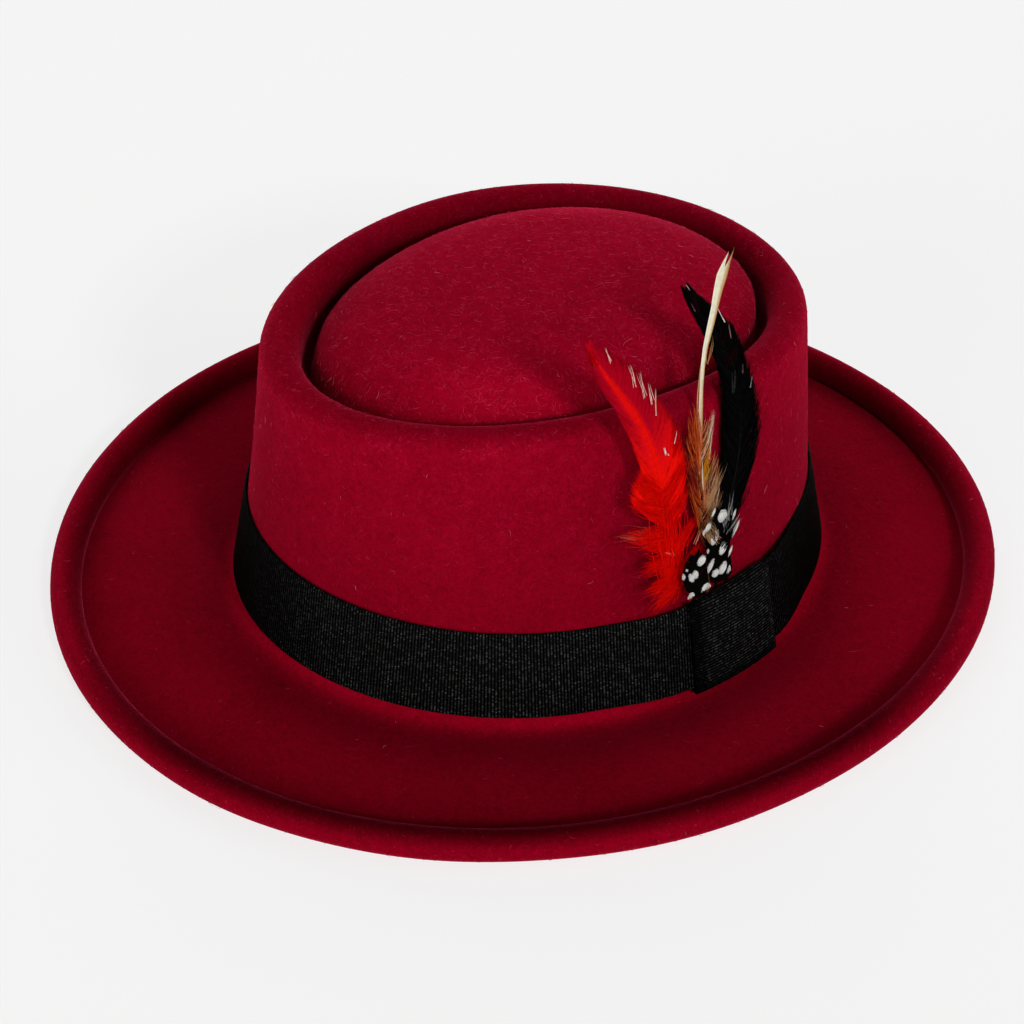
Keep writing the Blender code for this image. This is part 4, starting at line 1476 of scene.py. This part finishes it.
def make_camera(settings):
    back = direction(settings.azimuth, settings.elevation)
    right = Vector((math.cos(settings.azimuth), math.sin(settings.azimuth), 0.0))
    aim = Vector(AIM) - right * AIM_LEFT - back.cross(right) * AIM_DOWN
    data = bpy.data.cameras.new("camera")
    data.lens = settings.lens
    data.sensor_width = SENSOR_WIDTH
    camera = add_object("camera", data)
    camera.location = aim + back * settings.distance
    camera.rotation_euler = back.to_track_quat("Z", "Y").to_euler()
    bpy.context.scene.camera = camera
    bpy.context.scene.view_settings.view_transform = "Standard"


# Operators
class HAT_OT_felt(bpy.types.Operator):
    """Build the felt crown and brim"""

    bl_idname = "hat.felt"
    bl_label = "Felt"

    def execute(self, context):
        make_felt(context.scene.hat_felt)
        return {"FINISHED"}


class HAT_OT_fuzz(bpy.types.Operator):
    """Throw loose fibres over the felt"""

    bl_idname = "hat.fuzz"
    bl_label = "Loose fibres"

    def execute(self, context):
        make_fuzz(context.scene.hat_fuzz, context.scene.hat_felt)
        return {"FINISHED"}


class HAT_OT_ribbon(bpy.types.Operator):
    """Build the ribbed ribbon and the bow's knot"""

    bl_idname = "hat.ribbon"
    bl_label = "Ribbon and bow"

    def execute(self, context):
        settings = context.scene.hat_ribbon
        cloth = ribbon_material(settings)
        make_band(settings, cloth)
        make_bow(settings, cloth)
        return {"FINISHED"}


class HAT_OT_feathers(bpy.types.Operator):
    """Build the five feathers barb by barb"""

    bl_idname = "hat.feathers"
    bl_label = "Feathers"

    def execute(self, context):
        settings = context.scene.hat_feathers
        make_black(settings)
        make_quill(settings)
        make_red(settings)
        make_spotted(settings)
        return {"FINISHED"}


class HAT_OT_stage(bpy.types.Operator):
    """Build the floor, the lights and the camera"""

    bl_idname = "hat.stage"
    bl_label = "Stage"

    def execute(self, context):
        settings = context.scene.hat_stage
        make_floor(settings)
        make_lights()
        make_camera(settings)
        return {"FINISHED"}


class HAT_PT_panel(bpy.types.Panel):
    """The hat's pieces and their settings"""

    bl_idname = "HAT_PT_panel"
    bl_label = "Pork pie hat"
    bl_space_type = "VIEW_3D"
    bl_region_type = "UI"
    bl_category = "Hat"

    def draw(self, context):
        for group in GROUPS:
            box = self.layout.box()
            box.operator(group.replace("_", "."))
            settings = getattr(context.scene, group)
            for name in settings.bl_rna.properties.keys():
                if name not in ("rna_type", "name"):
                    box.prop(settings, name)


GROUPS = {
    "hat_felt": FeltSettings, "hat_fuzz": FuzzSettings, "hat_ribbon": RibbonSettings,
    "hat_feathers": FeatherSettings, "hat_stage": StageSettings,
}
CLASSES = (
    *GROUPS.values(), HAT_OT_felt, HAT_OT_fuzz, HAT_OT_ribbon, HAT_OT_feathers, HAT_OT_stage,
    HAT_PT_panel,
)


def register():
    for made in CLASSES:
        bpy.utils.register_class(made)
    for name, group in GROUPS.items():
        setattr(bpy.types.Scene, name, PointerProperty(type=group))


def unregister():
    for name in GROUPS:
        delattr(bpy.types.Scene, name)
    for made in reversed(CLASSES):
        bpy.utils.unregister_class(made)


def main():
    register()
    bpy.ops.hat.stage()
    bpy.ops.hat.felt()
    bpy.ops.hat.fuzz()
    bpy.ops.hat.ribbon()
    bpy.ops.hat.feathers()


if __name__ == "__main__":
    main()
